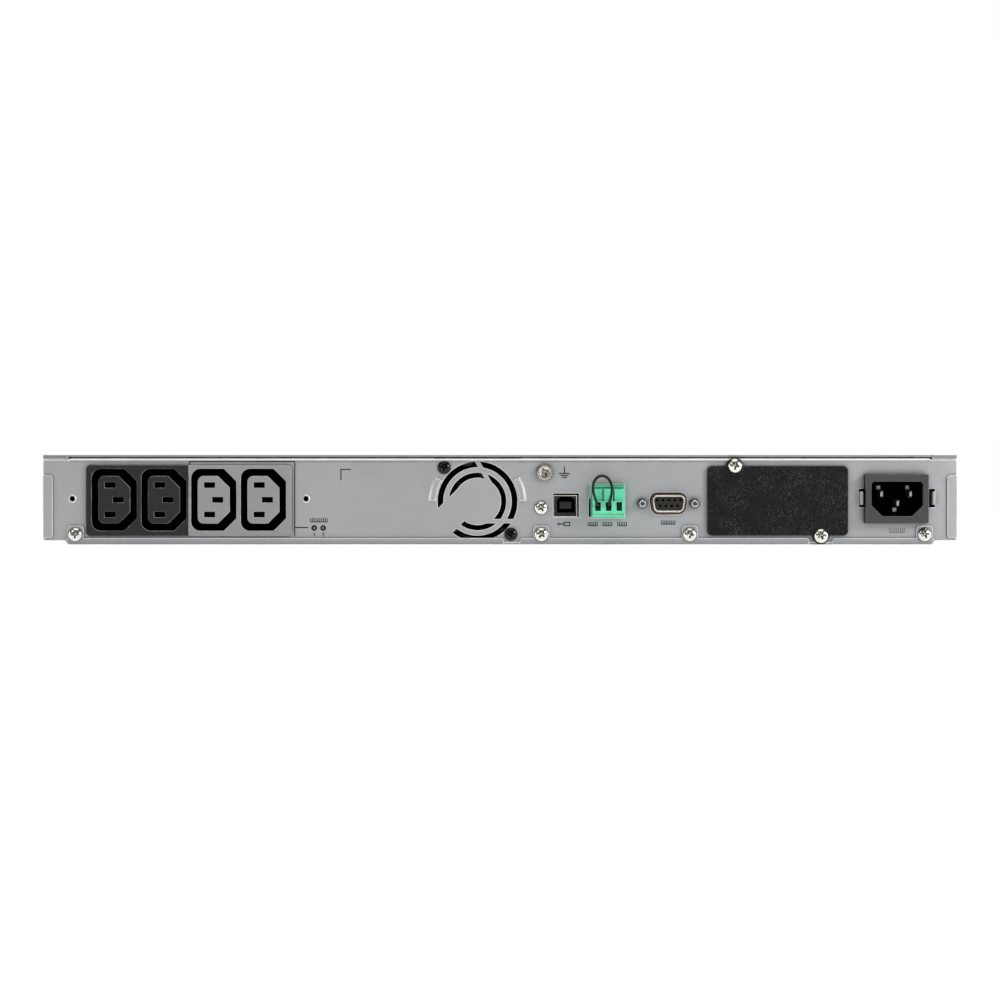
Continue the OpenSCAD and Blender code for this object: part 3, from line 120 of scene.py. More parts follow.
class Finish:
    """A material under construction: a Principled shader, and the nodes that feed it."""

    def __init__(self, name, colour, roughness, metallic=0.0, sheen=0.3):
        self.material = bpy.data.materials.new(name)
        self.material.use_nodes = True
        self.nodes = self.material.node_tree.nodes
        self.links = self.material.node_tree.links
        self.shader = self.nodes["Principled BSDF"]
        self.place = self.nodes.new("ShaderNodeTexCoord").outputs["Object"]
        self.set(self.shader, {"Metallic": metallic})
        self.colour = self.value_node("ShaderNodeRGB", colour)
        self.roughness = self.value_node("ShaderNodeValue", roughness)
        self.sheen = sheen
        self.normal = None

    def value_node(self, kind, value):
        node = self.nodes.new(kind)
        node.outputs[0].default_value = value
        return node.outputs[0]

    def set(self, node, inputs):
        """Sets or links a node's inputs."""
        for name, value in inputs.items():
            socket = node.inputs[name]
            if isinstance(value, bpy.types.NodeSocket):
                self.links.new(value, socket)
            else:
                socket.default_value = value
        return node

    def add(self, kind, inputs=None, **settings):
        """A new node with its settings and inputs."""
        node = self.nodes.new(kind)
        for name, value in settings.items():
            setattr(node, name, value)
        return self.set(node, inputs or {})

    def math(self, operation, *values, clamp=False):
        node = self.add("ShaderNodeMath", dict(enumerate(values)), operation=operation)
        node.use_clamp = clamp
        return node.outputs[0]

    def stretched(self, x, y, z):
        """The object's coordinates, scaled along each axis."""
        return self.add("ShaderNodeMapping", {"Vector": self.place, "Scale": (x, y, z)}).outputs[0]

    def noise(self, size, detail=2.0, place=None, roughness=0.5):
        """Noise from 0 to 1 whose features are about size mm across."""
        node = self.add("ShaderNodeTexNoise", {
            "Vector": place or self.place, "Scale": 1 / (size * MM), "Detail": detail,
            "Roughness": roughness})
        return node.outputs["Fac"]

    def ramp(self, value, low, high, to_low=0.0, to_high=1.0):
        """A value's range from low to high mapped to another range, and held there."""
        node = self.add("ShaderNodeMapRange", {
            "Value": value, "From Min": low, "From Max": high, "To Min": to_low, "To Max": to_high})
        return node.outputs[0]

    def tint(self, value, amount):
        """Lightens and darkens the colour by up to amount, as value goes from 0 to 1."""
        factor = self.ramp(value, 0.25, 0.75, 1 - amount, 1 + amount)
        node = self.add("ShaderNodeVectorMath", operation="SCALE")
        self.links.new(self.colour, node.inputs[0])
        self.links.new(factor, node.inputs["Scale"])
        self.colour = node.outputs[0]

    def mix(self, value, colour):
        """Changes the colour towards another where value is 1."""
        node = self.add("ShaderNodeMix", data_type="RGBA")
        self.links.new(value, node.inputs[0])
        self.links.new(self.colour, node.inputs[6])
        if isinstance(colour, bpy.types.NodeSocket):
            self.links.new(colour, node.inputs[7])
        else:
            node.inputs[7].default_value = colour
        self.colour = node.outputs[2]

    def polish(self, value, amount):
        """Varies the roughness by up to amount as value goes from 0 to 1."""
        self.roughness = self.math("ADD", self.roughness, self.ramp(value, 0.25, 0.75, -amount, amount),
                                   clamp=True)

    def bump(self, height, depth, strength=1.0):
        """Raises the surface by depth mm where height is 1."""
        inputs = {"Height": height, "Distance": depth * MM, "Strength": strength}
        if self.normal:
            inputs["Normal"] = self.normal
        self.normal = self.add("ShaderNodeBump", inputs).outputs[0]

    def dot(self, first, second):
        node = self.add("ShaderNodeVectorMath", {0: first, 1: second}, operation="DOT_PRODUCT")
        return node.outputs["Value"]

    def part(self, axis):
        """The object's coordinate along an axis."""
        return self.add("ShaderNodeSeparateXYZ", {0: self.place}).outputs[axis]

    def edges(self, width, away=1.0):
        """A mask that is 1 along edges, width mm wide, and away on those that look from the light."""
        round_normal = self.add("ShaderNodeBevel", {"Radius": width / 0.7 * MM}, samples=6).outputs[0]
        flat_normal = self.add("ShaderNodeNewGeometry").outputs["True Normal"]
        lit = self.ramp(self.dot(round_normal, LIGHT_SIDE), -0.1, 0.3, away)
        return self.math("MULTIPLY", self.ramp(self.dot(round_normal, flat_normal), 0.985, 0.94), lit)

    def slopes(self, face_y):
        """A mask that is 1 on the sides of what stands out to the rear from a face."""
        flat_normal = self.add("ShaderNodeNewGeometry").outputs["True Normal"]
        facing = self.math("ABSOLUTE", self.dot(flat_normal, BACKWARDS))
        outside = self.ramp(self.part("Y"), face_y + 0.1 * MM, face_y + 0.6 * MM)
        return self.math("MULTIPLY", outside, self.ramp(facing, 0.98, 0.93))

    def paint_crevice_shade(self, reach, amount, colour=(0.004, 0.004, 0.004, 1), start=0.85, end=0.35):
        """Paints shade: darkens the colour where other surfaces are within reach mm."""
        open_air = self.add("ShaderNodeAmbientOcclusion", {"Distance": reach * MM}, samples=6).outputs["AO"]
        self.mix(self.ramp(open_air, start, end, 0.0, amount), colour)

    def paint_recess_shade(self, face_y, start, end, colour=(0.0008, 0.0008, 0.0008, 1)):
        """Paints shade in a recess: goes to a dull near-black, and loses its sheen, from start to end mm in
        front of a face that looks to the rear.
        """
        depth = self.ramp(self.part("Y"), face_y - start * MM, face_y - end * MM)
        self.mix(depth, colour)
        self.sheen = self.math("MULTIPLY", self.sheen, self.math("SUBTRACT", 1.0, depth))

    def rub_and_light_edges(self, width, colour, patch=6.0):
        """Rubs edges towards another colour, in patches, and most on those that look to the light, so that
        it is partly rubbing and partly a painted highlight.
        """
        patches = self.ramp(self.noise(patch, 3), 0.38, 0.6, 0.4)
        self.mix(self.math("MULTIPLY", self.edges(width, 0.35), patches), colour)

    def done(self, **inputs):
        """Links what was made to the shader, and gives the material."""
        self.set(self.shader, {"Base Color": self.colour, "Roughness": self.roughness,
                               "Specular IOR Level": self.sheen})
        if self.normal:
            self.set(self.shader, {"Normal": self.normal})
        self.set(self.shader, {name.replace("_", " "): value for name, value in inputs.items()})
        return self.material


def zinc_sheet(name, colour, edge=0.9, bend_highlight=None, roughness=0.4):
    """Galvanised sheet steel: satin grey with fine speckle, soft clouds and rolling marks, painted shade in
    its creases, and painted highlights that make its cut edges bright, and the sides of what stands out to
    the rear.
    The heights of a fold painted with a bright highlight can be given, as (from, to) in metres."""
    f = Finish(name, colour, roughness, 0.8, 0.5)
    f.tint(f.noise(38, 3), 0.04)
    f.tint(f.noise(0.55, 3, roughness=0.7), 0.1)
    f.tint(f.noise(0.5, 2, place=f.stretched(0.02, 1, 1)), 0.03)
    f.polish(f.noise(5, 3), 0.06)
    # painted shade: faint where other surfaces are near, dark in the tightest creases
    f.paint_crevice_shade(3.5, 0.4, grey(70), 0.95, 0.5)
    f.paint_crevice_shade(0.9, 0.85, grey(30), 0.8, 0.4)
    # painted highlights: near-white on cut edges, most on those towards the light, and on the sides of what
    # stands out from the rear face; edge sets how strong
    f.mix(f.math("MULTIPLY", f.edges(0.5, 0.75), edge), grey(252))
    f.mix(f.math("MULTIPLY", f.slopes(REAR_Y), edge), grey(252))
    # painted highlight: a near-white, non-metal strip along the fold between the given heights
    if bend_highlight:
        low_z, high_z = bend_highlight
        bend_highlight_band = f.math("MULTIPLY", f.ramp(f.part("Z"), low_z - 0.2 * MM, low_z + 0.2 * MM),
                      f.ramp(f.part("Z"), high_z, high_z - 0.2 * MM))
        f.mix(bend_highlight_band, grey(252))
        f.set(f.shader, {"Metallic": f.ramp(bend_highlight_band, 0, 1, 0.8, 0.0)})
    f.bump(f.noise(0.4, 2), 0.012)
    return f.done()


def bright_nickel(name="bright_nickel", colour=(212, 209, 204), roughness=0.16):
    """Plated metal: bright, with hairline marks and dull patches, and painted shade in its hollows."""
    f = Finish(name, srgb(*colour), roughness, 1.0)
    f.tint(f.noise(1.5, 3), 0.07)
    f.polish(f.noise(1.2, 3), 0.05)
    f.paint_crevice_shade(1.0, 0.9, start=0.9, end=0.4)
    f.bump(f.noise(0.6, 2), 0.004)
    return f.done()


def plated_shell(name, node):
    """Drawn steel shell of a port: a bright lip, and behind it a brownish, dull painted shade, with painted
    shade in its hollows too.
    """
    f = Finish(name, srgb(232, 226, 216), 0.2, 1.0)
    lip_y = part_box(node)[1].y
    # painted shade: brownish and darker behind the lip
    f.mix(f.ramp(f.part("Y"), lip_y - 0.25 * MM, lip_y - 0.5 * MM), srgb(112, 97, 88))
    f.tint(f.noise(1.5, 3), 0.08)
    f.polish(f.noise(1.2, 3), 0.06)
    f.paint_crevice_shade(1.0, 0.9, start=0.9, end=0.4)
    return f.done()


def moulded_plastic(name, colour, roughness=0.42, grain=0.35, depth=0.012, rubbed_and_lit_edge=None, recess_shade=None):
    """Moulded plastic: fine spark-eroded grain, slight clouding, painted shade in its creases, and edges
    that can be made paler, as rubbing and as a painted highlight towards the light.
    A painted shade in recesses can be given as (node, start, end): near-black from start to end mm below
    that node's rear face."""
    f = Finish(name, colour, roughness)
    f.tint(f.noise(22, 2), 0.04)
    f.tint(f.noise(grain, 2), 0.07)
    f.polish(f.noise(4, 3), 0.06)
    f.paint_crevice_shade(1.5, 0.6)
    if rubbed_and_lit_edge:
        f.rub_and_light_edges(0.22, rubbed_and_lit_edge, 5)
    if recess_shade:
        node, start, end = recess_shade
        f.paint_recess_shade(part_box(node)[1].y, start, end)
    f.bump(f.noise(grain, 3), depth)
    return f.done()


def powder_coat(name, colour, speckle, roughness=0.5):
    """Powder coating: orange-peel bumps with fine pale speckle, and rubbed corners, paler towards the light
    as a painted highlight.
    """
    f = Finish(name, colour, roughness, sheen=0.15)
    flecks = f.ramp(f.noise(0.45, 2, roughness=0.8), 0.54, 0.66)
    f.mix(f.math("MULTIPLY", flecks, f.ramp(f.noise(9, 2), 0.35, 0.65, 0.25, 0.8)), speckle)
    f.tint(f.noise(18, 2), 0.08)
    f.rub_and_light_edges(0.25, grey(90), 9)
    f.bump(f.noise(0.6, 3), 0.03)
    return f.done()


def polished_brass(name, colour):
    f = Finish(name, colour, 0.28, 1.0)
    f.tint(f.noise(2, 3), 0.12)
    f.polish(f.noise(0.8, 2), 0.1)
    return f.done()


def circuit_board():
    """Green solder mask over copper tracks, with pale printed outlines."""
    f = Finish("circuit_board", srgb(28, 84, 52), 0.3)
    tracks = f.add("ShaderNodeTexBrick", {
        "Vector": f.place, "Scale": 120.0, "Mortar Size": 0.035, "Mortar Smooth": 0.1,
        "Bias": 0.0, "Brick Width": 0.9, "Row Height": 0.35}).outputs["Fac"]
    broken = f.ramp(f.noise(9, 2), 0.45, 0.5)
    f.mix(f.math("MULTIPLY", tracks, broken), srgb(52, 122, 78))
    f.tint(f.noise(12, 3), 0.08)
    f.bump(f.math("MULTIPLY", tracks, broken), 0.03)
    return f.done(Coat_Weight=0.4, Coat_Roughness=0.15)


def banded(name, colour, dark, pitch, axis, roughness=0.5, metallic=0.0, depth=0.05):
    """Stacked plates or wound wire: fine bands across an axis."""
    f = Finish(name, colour, roughness, metallic)
    bands = f.add("ShaderNodeTexWave", {
        "Vector": f.place, "Scale": 0.314 / (pitch * MM), "Distortion": 0.3, "Detail": 1.0},
        bands_direction=axis).outputs["Fac"]
    f.mix(f.ramp(bands, 0.35, 0.05), dark)
    f.tint(f.noise(3, 3), 0.1)
    f.bump(bands, depth)
    return f.done()


def ink(name, colour):
    """Screen-printed ink, slightly uneven."""
    f = Finish(name, colour, 0.6)
    f.tint(f.noise(0.4, 2), 0.12)
    f.bump(f.noise(0.2, 2), 0.004)
    return f.done()


def smoked_window():
    f = Finish("smoked_window", srgb(52, 55, 60), 0.08)
    f.polish(f.noise(12, 2), 0.03)
    return f.done(Transmission_Weight=0.75, IOR=1.49)


def light_pipe():
    f = Finish("light_pipe", srgb(196, 226, 204), 0.25)
    f.tint(f.noise(1.2, 2), 0.06)
    return f.done(Transmission_Weight=0.4, IOR=1.49, Subsurface_Weight=0.2)


ZINC = zinc_sheet("zinc_sheet", srgb(170, 171, 173))
PANEL_ZINC = zinc_sheet("panel_zinc", srgb(170, 171, 173), bend_highlight=PANEL_BEND_HIGHLIGHT)
LID_STEEL = zinc_sheet("lid_steel", srgb(138, 134, 132), 0.3, roughness=0.55)
NICKEL = bright_nickel()
DULL_NICKEL = bright_nickel("dull_nickel", (168, 166, 162), 0.34)
WORN_STEEL = bright_nickel("worn_steel", (186, 180, 170), 0.26)
# hexagons of the serial port's jackscrews: steel darkened as painted shade on their faces
SHADED_STEEL = bright_nickel("shaded_steel", (96, 94, 92), 0.3)
CLAMP_STEEL = bright_nickel("clamp_steel", (84, 86, 82), 0.4)
BRASS = polished_brass("contact_brass", srgb(205, 170, 98))
SHADED_BRASS = polished_brass("shaded_brass", srgb(12, 10, 7))
EAR_BLACK = powder_coat("ear_powder_coat", grey(24), grey(58))
COVER_BLACK = powder_coat("cover_powder_coat", srgb(8, 7, 8), srgb(84, 80, 82))
# outlets: pale edges as painted highlight, and painted shade deep in the sockets
OUTLET_DARK = moulded_plastic("outlet_dark", grey(30), rubbed_and_lit_edge=grey(205),
                              recess_shade=("outlet_block_dark", 0.35, 1.1))
OUTLET_GREY = moulded_plastic("outlet_grey", grey(134), rubbed_and_lit_edge=grey(225),
                              recess_shade=("outlet_block_grey", 0.35, 1.1))
# inlet: pale edges as painted highlight, and painted shade deep in its cavity
INLET_BLACK = moulded_plastic("inlet_black", srgb(60, 60, 62), 0.36, rubbed_and_lit_edge=grey(130),
                              recess_shade=("mains_inlet", 3, 5))
# ports: painted shade deep in the openings
PORT_BLACK = moulded_plastic("port_black", srgb(30, 29, 26), 0.4, recess_shade=("usb_shell", 4, 7))
# terminal: pale mint edges as painted highlight
TERMINAL_GREEN = moulded_plastic("terminal_green", srgb(94, 202, 160), 0.34, 0.3, 0.006,
                                 rubbed_and_lit_edge=srgb(170, 240, 210))
FAN_BLACK = moulded_plastic("fan_black", grey(22), 0.45)
SCREW_BLACK = bright_nickel("screw_black", (44, 44, 46), 0.12)
BOARD = circuit_board()
GUIDE_GREY = moulded_plastic("guide_grey", grey(48))
CORE_STEEL = banded("core_steel", srgb(92, 90, 88), grey(40), 0.5, "Y", 0.5, 0.7)
COIL_COPPER = banded("coil_copper", srgb(150, 78, 40), srgb(62, 26, 12), 0.9, "Z", 0.35, 0.6)
SINK_ALUMINIUM = bright_nickel("sink_aluminium", (176, 178, 182), 0.42)
SLEEVE = moulded_plastic("capacitor_sleeve", srgb(28, 34, 58), 0.3)
RELAY_CASE = moulded_plastic("relay_case", grey(36), 0.35)
BATTERY_CASE = moulded_plastic("battery_case", srgb(58, 60, 62), 0.5, 0.5)
CONNECTOR_RED = moulded_plastic("connector_red", srgb(140, 26, 26))
CONNECTOR_BLACK = moulded_plastic("connector_black", grey(30))
# fascia: paler edges, from rubbing and as a painted highlight
FASCIA_BLACK = moulded_plastic("fascia_black", grey(30), 0.5, 0.6, 0.03, rubbed_and_lit_edge=grey(62))
BUTTON_GREY = moulded_plastic("button_grey", grey(120), 0.4)
POWER_GREY = moulded_plastic("power_grey", grey(196), 0.35)
DISPLAY_GREY = moulded_plastic("display_grey", srgb(122, 138, 128), 0.3)
WINDOW = smoked_window()
LIGHT = light_pipe()
WIRE_BLACK = moulded_plastic("wire_black", grey(8), 0.38, 0.5, 0.006)
INK_BLACK = ink("ink_black", grey(8))
INK_GREY = ink("ink_grey", grey(84))
INK_WHITE = ink("ink_white", grey(215))


# ---- the CAD nodes: a finish and rounded edges ----

def dress(names, material, edge, merge_flats=True):
    """Gives CAD nodes their finish and rounds their edges by edge mm."""
    for name in names.split():
        node = frame["nodes"][name]
        node.material_slots[0].material = material
        for polygon in node.data.polygons:
            polygon.use_smooth = True
        node.modifiers.new("weld", "WELD").merge_threshold = 1e-6
        if merge_flats:
            flats = node.modifiers.new("flats", "DECIMATE")
            flats.decimate_type = "DISSOLVE"
            flats.angle_limit = math.radians(0.5)
        bevel = node.modifiers.new("bevel", "BEVEL")
        bevel.width = edge * MM
        bevel.segments = 2
        bevel.limit_method = "ANGLE"
        bevel.angle_limit = EDGE_ANGLE
        bevel.use_clamp_overlap = True
        node.modifiers.new("normals", "WEIGHTED_NORMAL").keep_sharp = False


dress("base_tray bay_wall battery_tray front_frame", ZINC, 0.15)
dress("rear_panel", PANEL_ZINC, 0.15)
dress("top_cover", LID_STEEL, 0.2)
dress("rack_ear_left rack_ear_right", EAR_BLACK, 0.3)
dress("outlet_block_dark", OUTLET_DARK, 0.25)
dress("outlet_block_grey", OUTLET_GREY, 0.25)
dress("outlet_contacts", SHADED_BRASS, 0.08)
dress("battery_terminals board_standoffs", BRASS, 0.08)
dress("mains_inlet", INLET_BLACK, 0.3, merge_flats=False)
dress("usb_shell", plated_shell("usb_plating", "usb_shell"), 0.08)
dress("serial_shell", plated_shell("serial_plating", "serial_shell"), 0.12)
dress("terminal_clamps", CLAMP_STEEL, 0.08)
dress("inlet_pins cord_clip_anchors transformer_mounts battery_handle", DULL_NICKEL, 0.15)
dress("usb_tongue serial_insert", PORT_BLACK, 0.1)
dress("terminal_header terminal_plug", TERMINAL_GREEN, 0.15)
dress("slot_cover", COVER_BLACK, 0.35)
dress("fan_frame fan_rotor", FAN_BLACK, 0.15)
dress("main_board comm_board control_board", BOARD, 0.08)
dress("card_guides", GUIDE_GREY, 0.15)
dress("transformer_core", CORE_STEEL, 0.3)
dress("transformer_coil", COIL_COPPER, 1.2)
dress("heatsink", SINK_ALUMINIUM, 0.15)
dress("capacitors", SLEEVE, 0.5)
dress("relays", RELAY_CASE, 0.3)
dress("battery_block_left battery_block_right", BATTERY_CASE, 0.8)
dress("battery_plug", CONNECTOR_RED, 0.3)
dress("battery_socket", CONNECTOR_BLACK, 0.3)
dress("control_fascia battery_door", FASCIA_BLACK, 0.3)
dress("escape_button up_button down_button enter_button", BUTTON_GREY, 0.3)
dress("power_button", POWER_GREY, 0.5)
dress("display_window", WINDOW, 0.2)
dress("display_module", DISPLAY_GREY, 0.15)
dress("status_lights", LIGHT, 0.2)
dress("top_cover_screws rack_ear_screws battery_thumbscrews", NICKEL, 0.08)


# ---- pieces ----

def piece(name, mesh, material, body="chassis", replaces=()):
    """A new object from a bmesh, that rides on a body."""
    data = bpy.data.meshes.new(name)
    bmesh.ops.recalc_face_normals(mesh, faces=mesh.faces)
    mesh.to_mesh(data)
    mesh.free()
    data.materials.append(material)
    made = bpy.data.objects.new(name, data)
    bpy.context.scene.collection.objects.link(made)
    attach(made, body)
    if replaces:
        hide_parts(*replaces)
    return made


def prism(mesh, outline, place, across, up, out, thickness):
    """Adds a flat shape to a mesh: outline in mm along across and up, thickness mm along out."""
    base = [place + (across * x + up * y) * MM for x, y in outline]
    bottom = [mesh.verts.new(p) for p in base]
    top = [mesh.verts.new(p + out * thickness * MM) for p in base]
    count = len(base)
    mesh.faces.new(top)
    mesh.faces.new(reversed(bottom))
    for i in range(count):
        mesh.faces.new([bottom[i], bottom[(i + 1) % count], top[(i + 1) % count], top[i]])


INK_THICKNESS = 0.03


def printed(mesh, outline, u, v):
    """Adds an inked shape to a mesh, on the rear panel at (u, v)."""
    prism(mesh, outline, on_rear(u, v), VIEW_RIGHT, UP, BACKWARDS, INK_THICKNESS)


def bar(width, height):
    return [(-width / 2, -height / 2), (width / 2, -height / 2), (width / 2, height / 2),
            (-width / 2, height / 2)]


def stroke(points, width):
    """Outline of a line of that width through points."""
    sides = [[], []]
    for i, (x, y) in enumerate(points):
        before = Vector(points[max(i - 1, 0)])
        after = Vector(points[min(i + 1, len(points) - 1)])
        along = (after - before).normalized()
        for side, found in zip((LEFT, RIGHT), sides):
            found.append((x + side * along.y * width / 2, y - side * along.x * width / 2))
    return sides[1] + sides[0][::-1]


def arc(radius, start, end, steps=20, x=0.0, y=0.0):
    """Points on an arc, angles in degrees."""
    angles = [math.radians(start + (end - start) * i / steps) for i in range(steps + 1)]
    return [(x + radius * math.cos(a), y + radius * math.sin(a)) for a in angles]


def ring(mesh, radius, width, u, v):
    """Adds an inked ring, as two half rings."""
    for start in (0, 180):
        printed(mesh, stroke(arc(radius, start, start + 180), width), u, v)


# ---- screws ----

def turned(mesh, place, rows, steps=56, dent=None, shape=None):
    """Adds a turned solid that looks to the rear. rows are (radius, height) in mm from its foot to its top;
    dent gives how far a point of the top is sunk, and shape scales a radius by its angle and height."""
    rings = []
    for radius, height in rows:
        verts = []
        for i in range(steps):
            angle = 2 * math.pi * i / steps
            reach = radius * (shape(angle, height) if shape else 1)
            x, y = reach * math.cos(angle), reach * math.sin(angle)
            level = height - (dent(x, y) if dent and height > 0 else 0)
            verts.append(mesh.verts.new(place + (VIEW_RIGHT * x + UP * y + BACKWARDS * level) * MM))
        rings.append(verts)
    for lower, upper in zip(rings, rings[1:]):
        for i in range(steps):
            j = (i + 1) % steps
            mesh.faces.new([lower[i], lower[j], upper[j], upper[i]])
    mesh.faces.new(reversed(rings[0]))
    top = mesh.verts.new(sum((v.co for v in rings[-1]), Vector()) / steps)
    for i in range(steps):
        mesh.faces.new([rings[-1][i], rings[-1][(i + 1) % steps], top])


def soft_step(value, width):
    """0 below -width, 1 above width, and smooth between."""
    t = min(max((value / width + 1) / 2, 0), 1)
    return t * t * (3 - 2 * t)


def cross_recess(reach, depth, turn):
    """How deep a cross-shaped screwdriver recess is at a point."""
    def dent(x, y):
        a = x * math.cos(turn) + y * math.sin(turn)
        b = y * math.cos(turn) - x * math.sin(turn)
        along, aside = max(abs(a), abs(b)), min(abs(a), abs(b))
        arm = soft_step(reach * (0.24 - 0.06 * along / reach) - aside, reach * 0.07)
        return depth * arm * soft_step(reach - along, reach * 0.1) * (1 - 0.5 * along / reach)
    return dent


def shank_rows(radius, length, pitch=0.7):
    """A threaded shank below the head, as ridges."""
    rows = [(radius * 0.6, -length), (radius * 0.8, -length + 0.4)]
    height = -length + 0.7
    while height < -1.6:
        rows += [(radius, height), (radius * 0.82, height + pitch / 2)]
        height += pitch
    return rows + [(radius, -1.2), (radius, 0)]


def pan_rows(radius, height):
    """A pan head's outline, from its rim to its middle."""
    rim = 0.16         # share of the height below the dome
    steps = 22
    roundness = 2.1    # 2 is an ellipse
    rows = [(radius * 0.97, 0), (radius, 0.1), (radius, height * rim)]
    for i in range(1, steps):
        share = 1 - i / steps
        rows.append((radius * share, height * (rim + (1 - rim) * (1 - share ** roundness) ** 0.5)))
    return rows


def screw_place(places):
    """A CAD screw's head: the middle of its seat, its radius and height, and its shank's length, in mm."""
    low, high = corners(places)
    middle = (low + high) / 2
    level = [(p.y - middle.y) / MM for p in places]
    radial = [math.hypot(p.x - middle.x, p.z - middle.z) / MM for p in places]
    radius = max(radial)
    seat = min(h for h, r in zip(level, radial) if r > radius * 0.93)
    return middle + BACKWARDS * seat * MM, radius, max(level) - seat, seat - min(level)


def pan_screws(node, name, material, shank):
    """Detailed pan-head screws in place of a node's plain ones, on the rear. Each is turned differently."""
    recess_reach, recess_depth = 0.5, 0.6          # shares of the head's radius and height
    first_turn, next_turn = 0.35, 1.1              # in radians
    mesh = bmesh.new()
    for i, places in enumerate(solids(node)):
        place, radius, height, length = screw_place(places)
        recess = cross_recess(radius * recess_reach, height * recess_depth, first_turn + next_turn * i)
        turned(mesh, place, shank_rows(shank, length) + pan_rows(radius, height), dent=recess)
    smooth(piece(name, mesh, material, replaces=[node]), 40)


def smooth(made, angle):
    """Smooth shading, but sharp where faces meet at more than an angle, in degrees."""
    for polygon in made.data.polygons:
        polygon.use_smooth = True
    made.data.set_sharp_from_angle(angle=math.radians(angle))


def hex_shape(flats_from, flats_to, corner=0.985):
    """Radius scale of a rounded hexagon with flats above and below, between two heights in mm."""
    def shape(angle, height):
        if not flats_from < height < flats_to:
            return 1
        turn = angle % (math.pi / 3) - math.pi / 6
        return min(math.cos(math.pi / 6) / math.cos(turn) / 0.9, corner)
    return shape


def ground_stud():
    """Hexagonal washer-head screw with a cross recess that has seen use."""
    place, radius, height, length = screw_place(solids("ground_screw")[0])
    hexagon = radius * 0.95
    rows = shank_rows(2.4, length) + [
        (radius * 0.97, 0), (radius, 0.2), (radius, 0.6), (radius * 0.97, 0.8), (hexagon * 0.97, 0.85),
        (hexagon, 1.2), (hexagon, height - 0.5), (hexagon * 0.97, height - 0.2), (hexagon * 0.91, height)]
    rows += [(hexagon * 0.91 * (1 - i / 14), height + 0.15 * (i / 14) - 0.35 * soft_step(i - 5, 2))
             for i in range(1, 14)]
    mesh = bmesh.new()
    turned(mesh, place, rows, steps=72, dent=cross_recess(radius * 0.5, 1.3, 0.5),
           shape=hex_shape(0.82, height - 0.1))
    smooth(piece("ground_stud", mesh, WORN_STEEL, replaces=["ground_screw"]), 35)


def jackscrews():
    """Hexagonal standoffs beside the serial port, their faces painted dark as shade, each with a bright rim
    round its threaded hole.
    """
    rim, hole = 1.7, 0.95          # radii in mm
    bodies, rims = bmesh.new(), bmesh.new()
    for places in solids("serial_jackscrews"):
        low, high = corners(places)
        middle = (low + high) / 2
        place = Vector((middle.x, REAR_Y, middle.z))
        radius = (high.x - low.x) / 2 / MM
        reach = (high.y - REAR_Y) / MM
        face = reach - 0.35
        back = (REAR_Y - low.y) / MM
        turned(bodies, place, [
            (1.3, -back), (1.5, -back + 0.3), (1.5, 0), (radius, 0.05), (radius, 0.3), (radius, face - 0.4),
            (radius * 0.95, face - 0.1), (radius * 0.86, face), (rim, face)], steps=48,
            shape=hex_shape(0.02, face - 0.05))
        rows = [(rim, face - 0.4), (rim, reach - 0.15), (rim - 0.15, reach), (hole + 0.12, reach),
                (hole, reach - 0.12)]
        rows += [(hole - 0.1 * (i % 2), reach - 0.3 - 0.25 * i) for i in range(10)]
        turned(rims, place, rows, steps=40)
    smooth(piece("jackscrews", bodies, SHADED_STEEL, replaces=["serial_jackscrews"]), 35)
    smooth(piece("jackscrew_rims", rims, NICKEL), 35)


pan_screws("rear_panel_screws", "panel_screws", NICKEL, 1.5)
pan_screws("slot_cover_screws", "cover_screws", NICKEL, 1.5)
pan_screws("fan_screws", "grille_screws", SCREW_BLACK, 1.6)
ground_stud()
jackscrews()


# ---- camera ----

VIEW_DISTANCE = 1.3                # from the rear panel
VIEW_HEIGHT = 0.0214
VIEW_WIDTH = 0.4794                # what the picture shows at the rear panel

camera_data = bpy.data.cameras.new("camera")
camera = bpy.data.objects.new("camera", camera_data)
bpy.context.scene.collection.objects.link(camera)
camera.location = (0, REAR_Y + VIEW_DISTANCE, VIEW_HEIGHT)
camera.rotation_euler = (math.radians(90), 0, math.radians(180))
camera_data.sensor_width = 36
camera_data.lens = camera_data.sensor_width * VIEW_DISTANCE / VIEW_WIDTH
camera_data.clip_start = 0.01
camera_data.clip_end = 100
bpy.context.scene.camera = camera


# ---- jumper wire ----

TERMINAL_U, TERMINAL_V = 51.6, 20.8
WIRE_D = 1.3
# to the viewer's right of the terminal's middle, up from it, and out from the rear panel, in mm
WIRE_ROUTE = [
    (-5.1, -2.45, 5.4), (-5.1, -2.45, 8.4), (-5.1, -2.45, 10.4), (-5.1, -2.35, 12), (-5.3, -1.7, 13.8),
    (-6, 0, 14.8), (-6.8, 2.3, 15), (-7.4, 4.8, 14.6), (-7.5, 7.2, 14), (-6.9, 9.5, 13.5),
    (-5.7, 11.2, 13.2), (-3.9, 12.1, 13), (-2, 12, 13), (-0.2, 10.8, 13.2), (1, 8.9, 13.5),
    (1.6, 6.7, 14), (1.5, 4.5, 14.6), (1, 2.2, 15), (0.4, 0, 14.8), (0.1, -1.6, 13.8),
    (0, -2.35, 12), (0, -2.45, 10.4), (0, -2.45, 8.4), (0, -2.45, 5.4)]


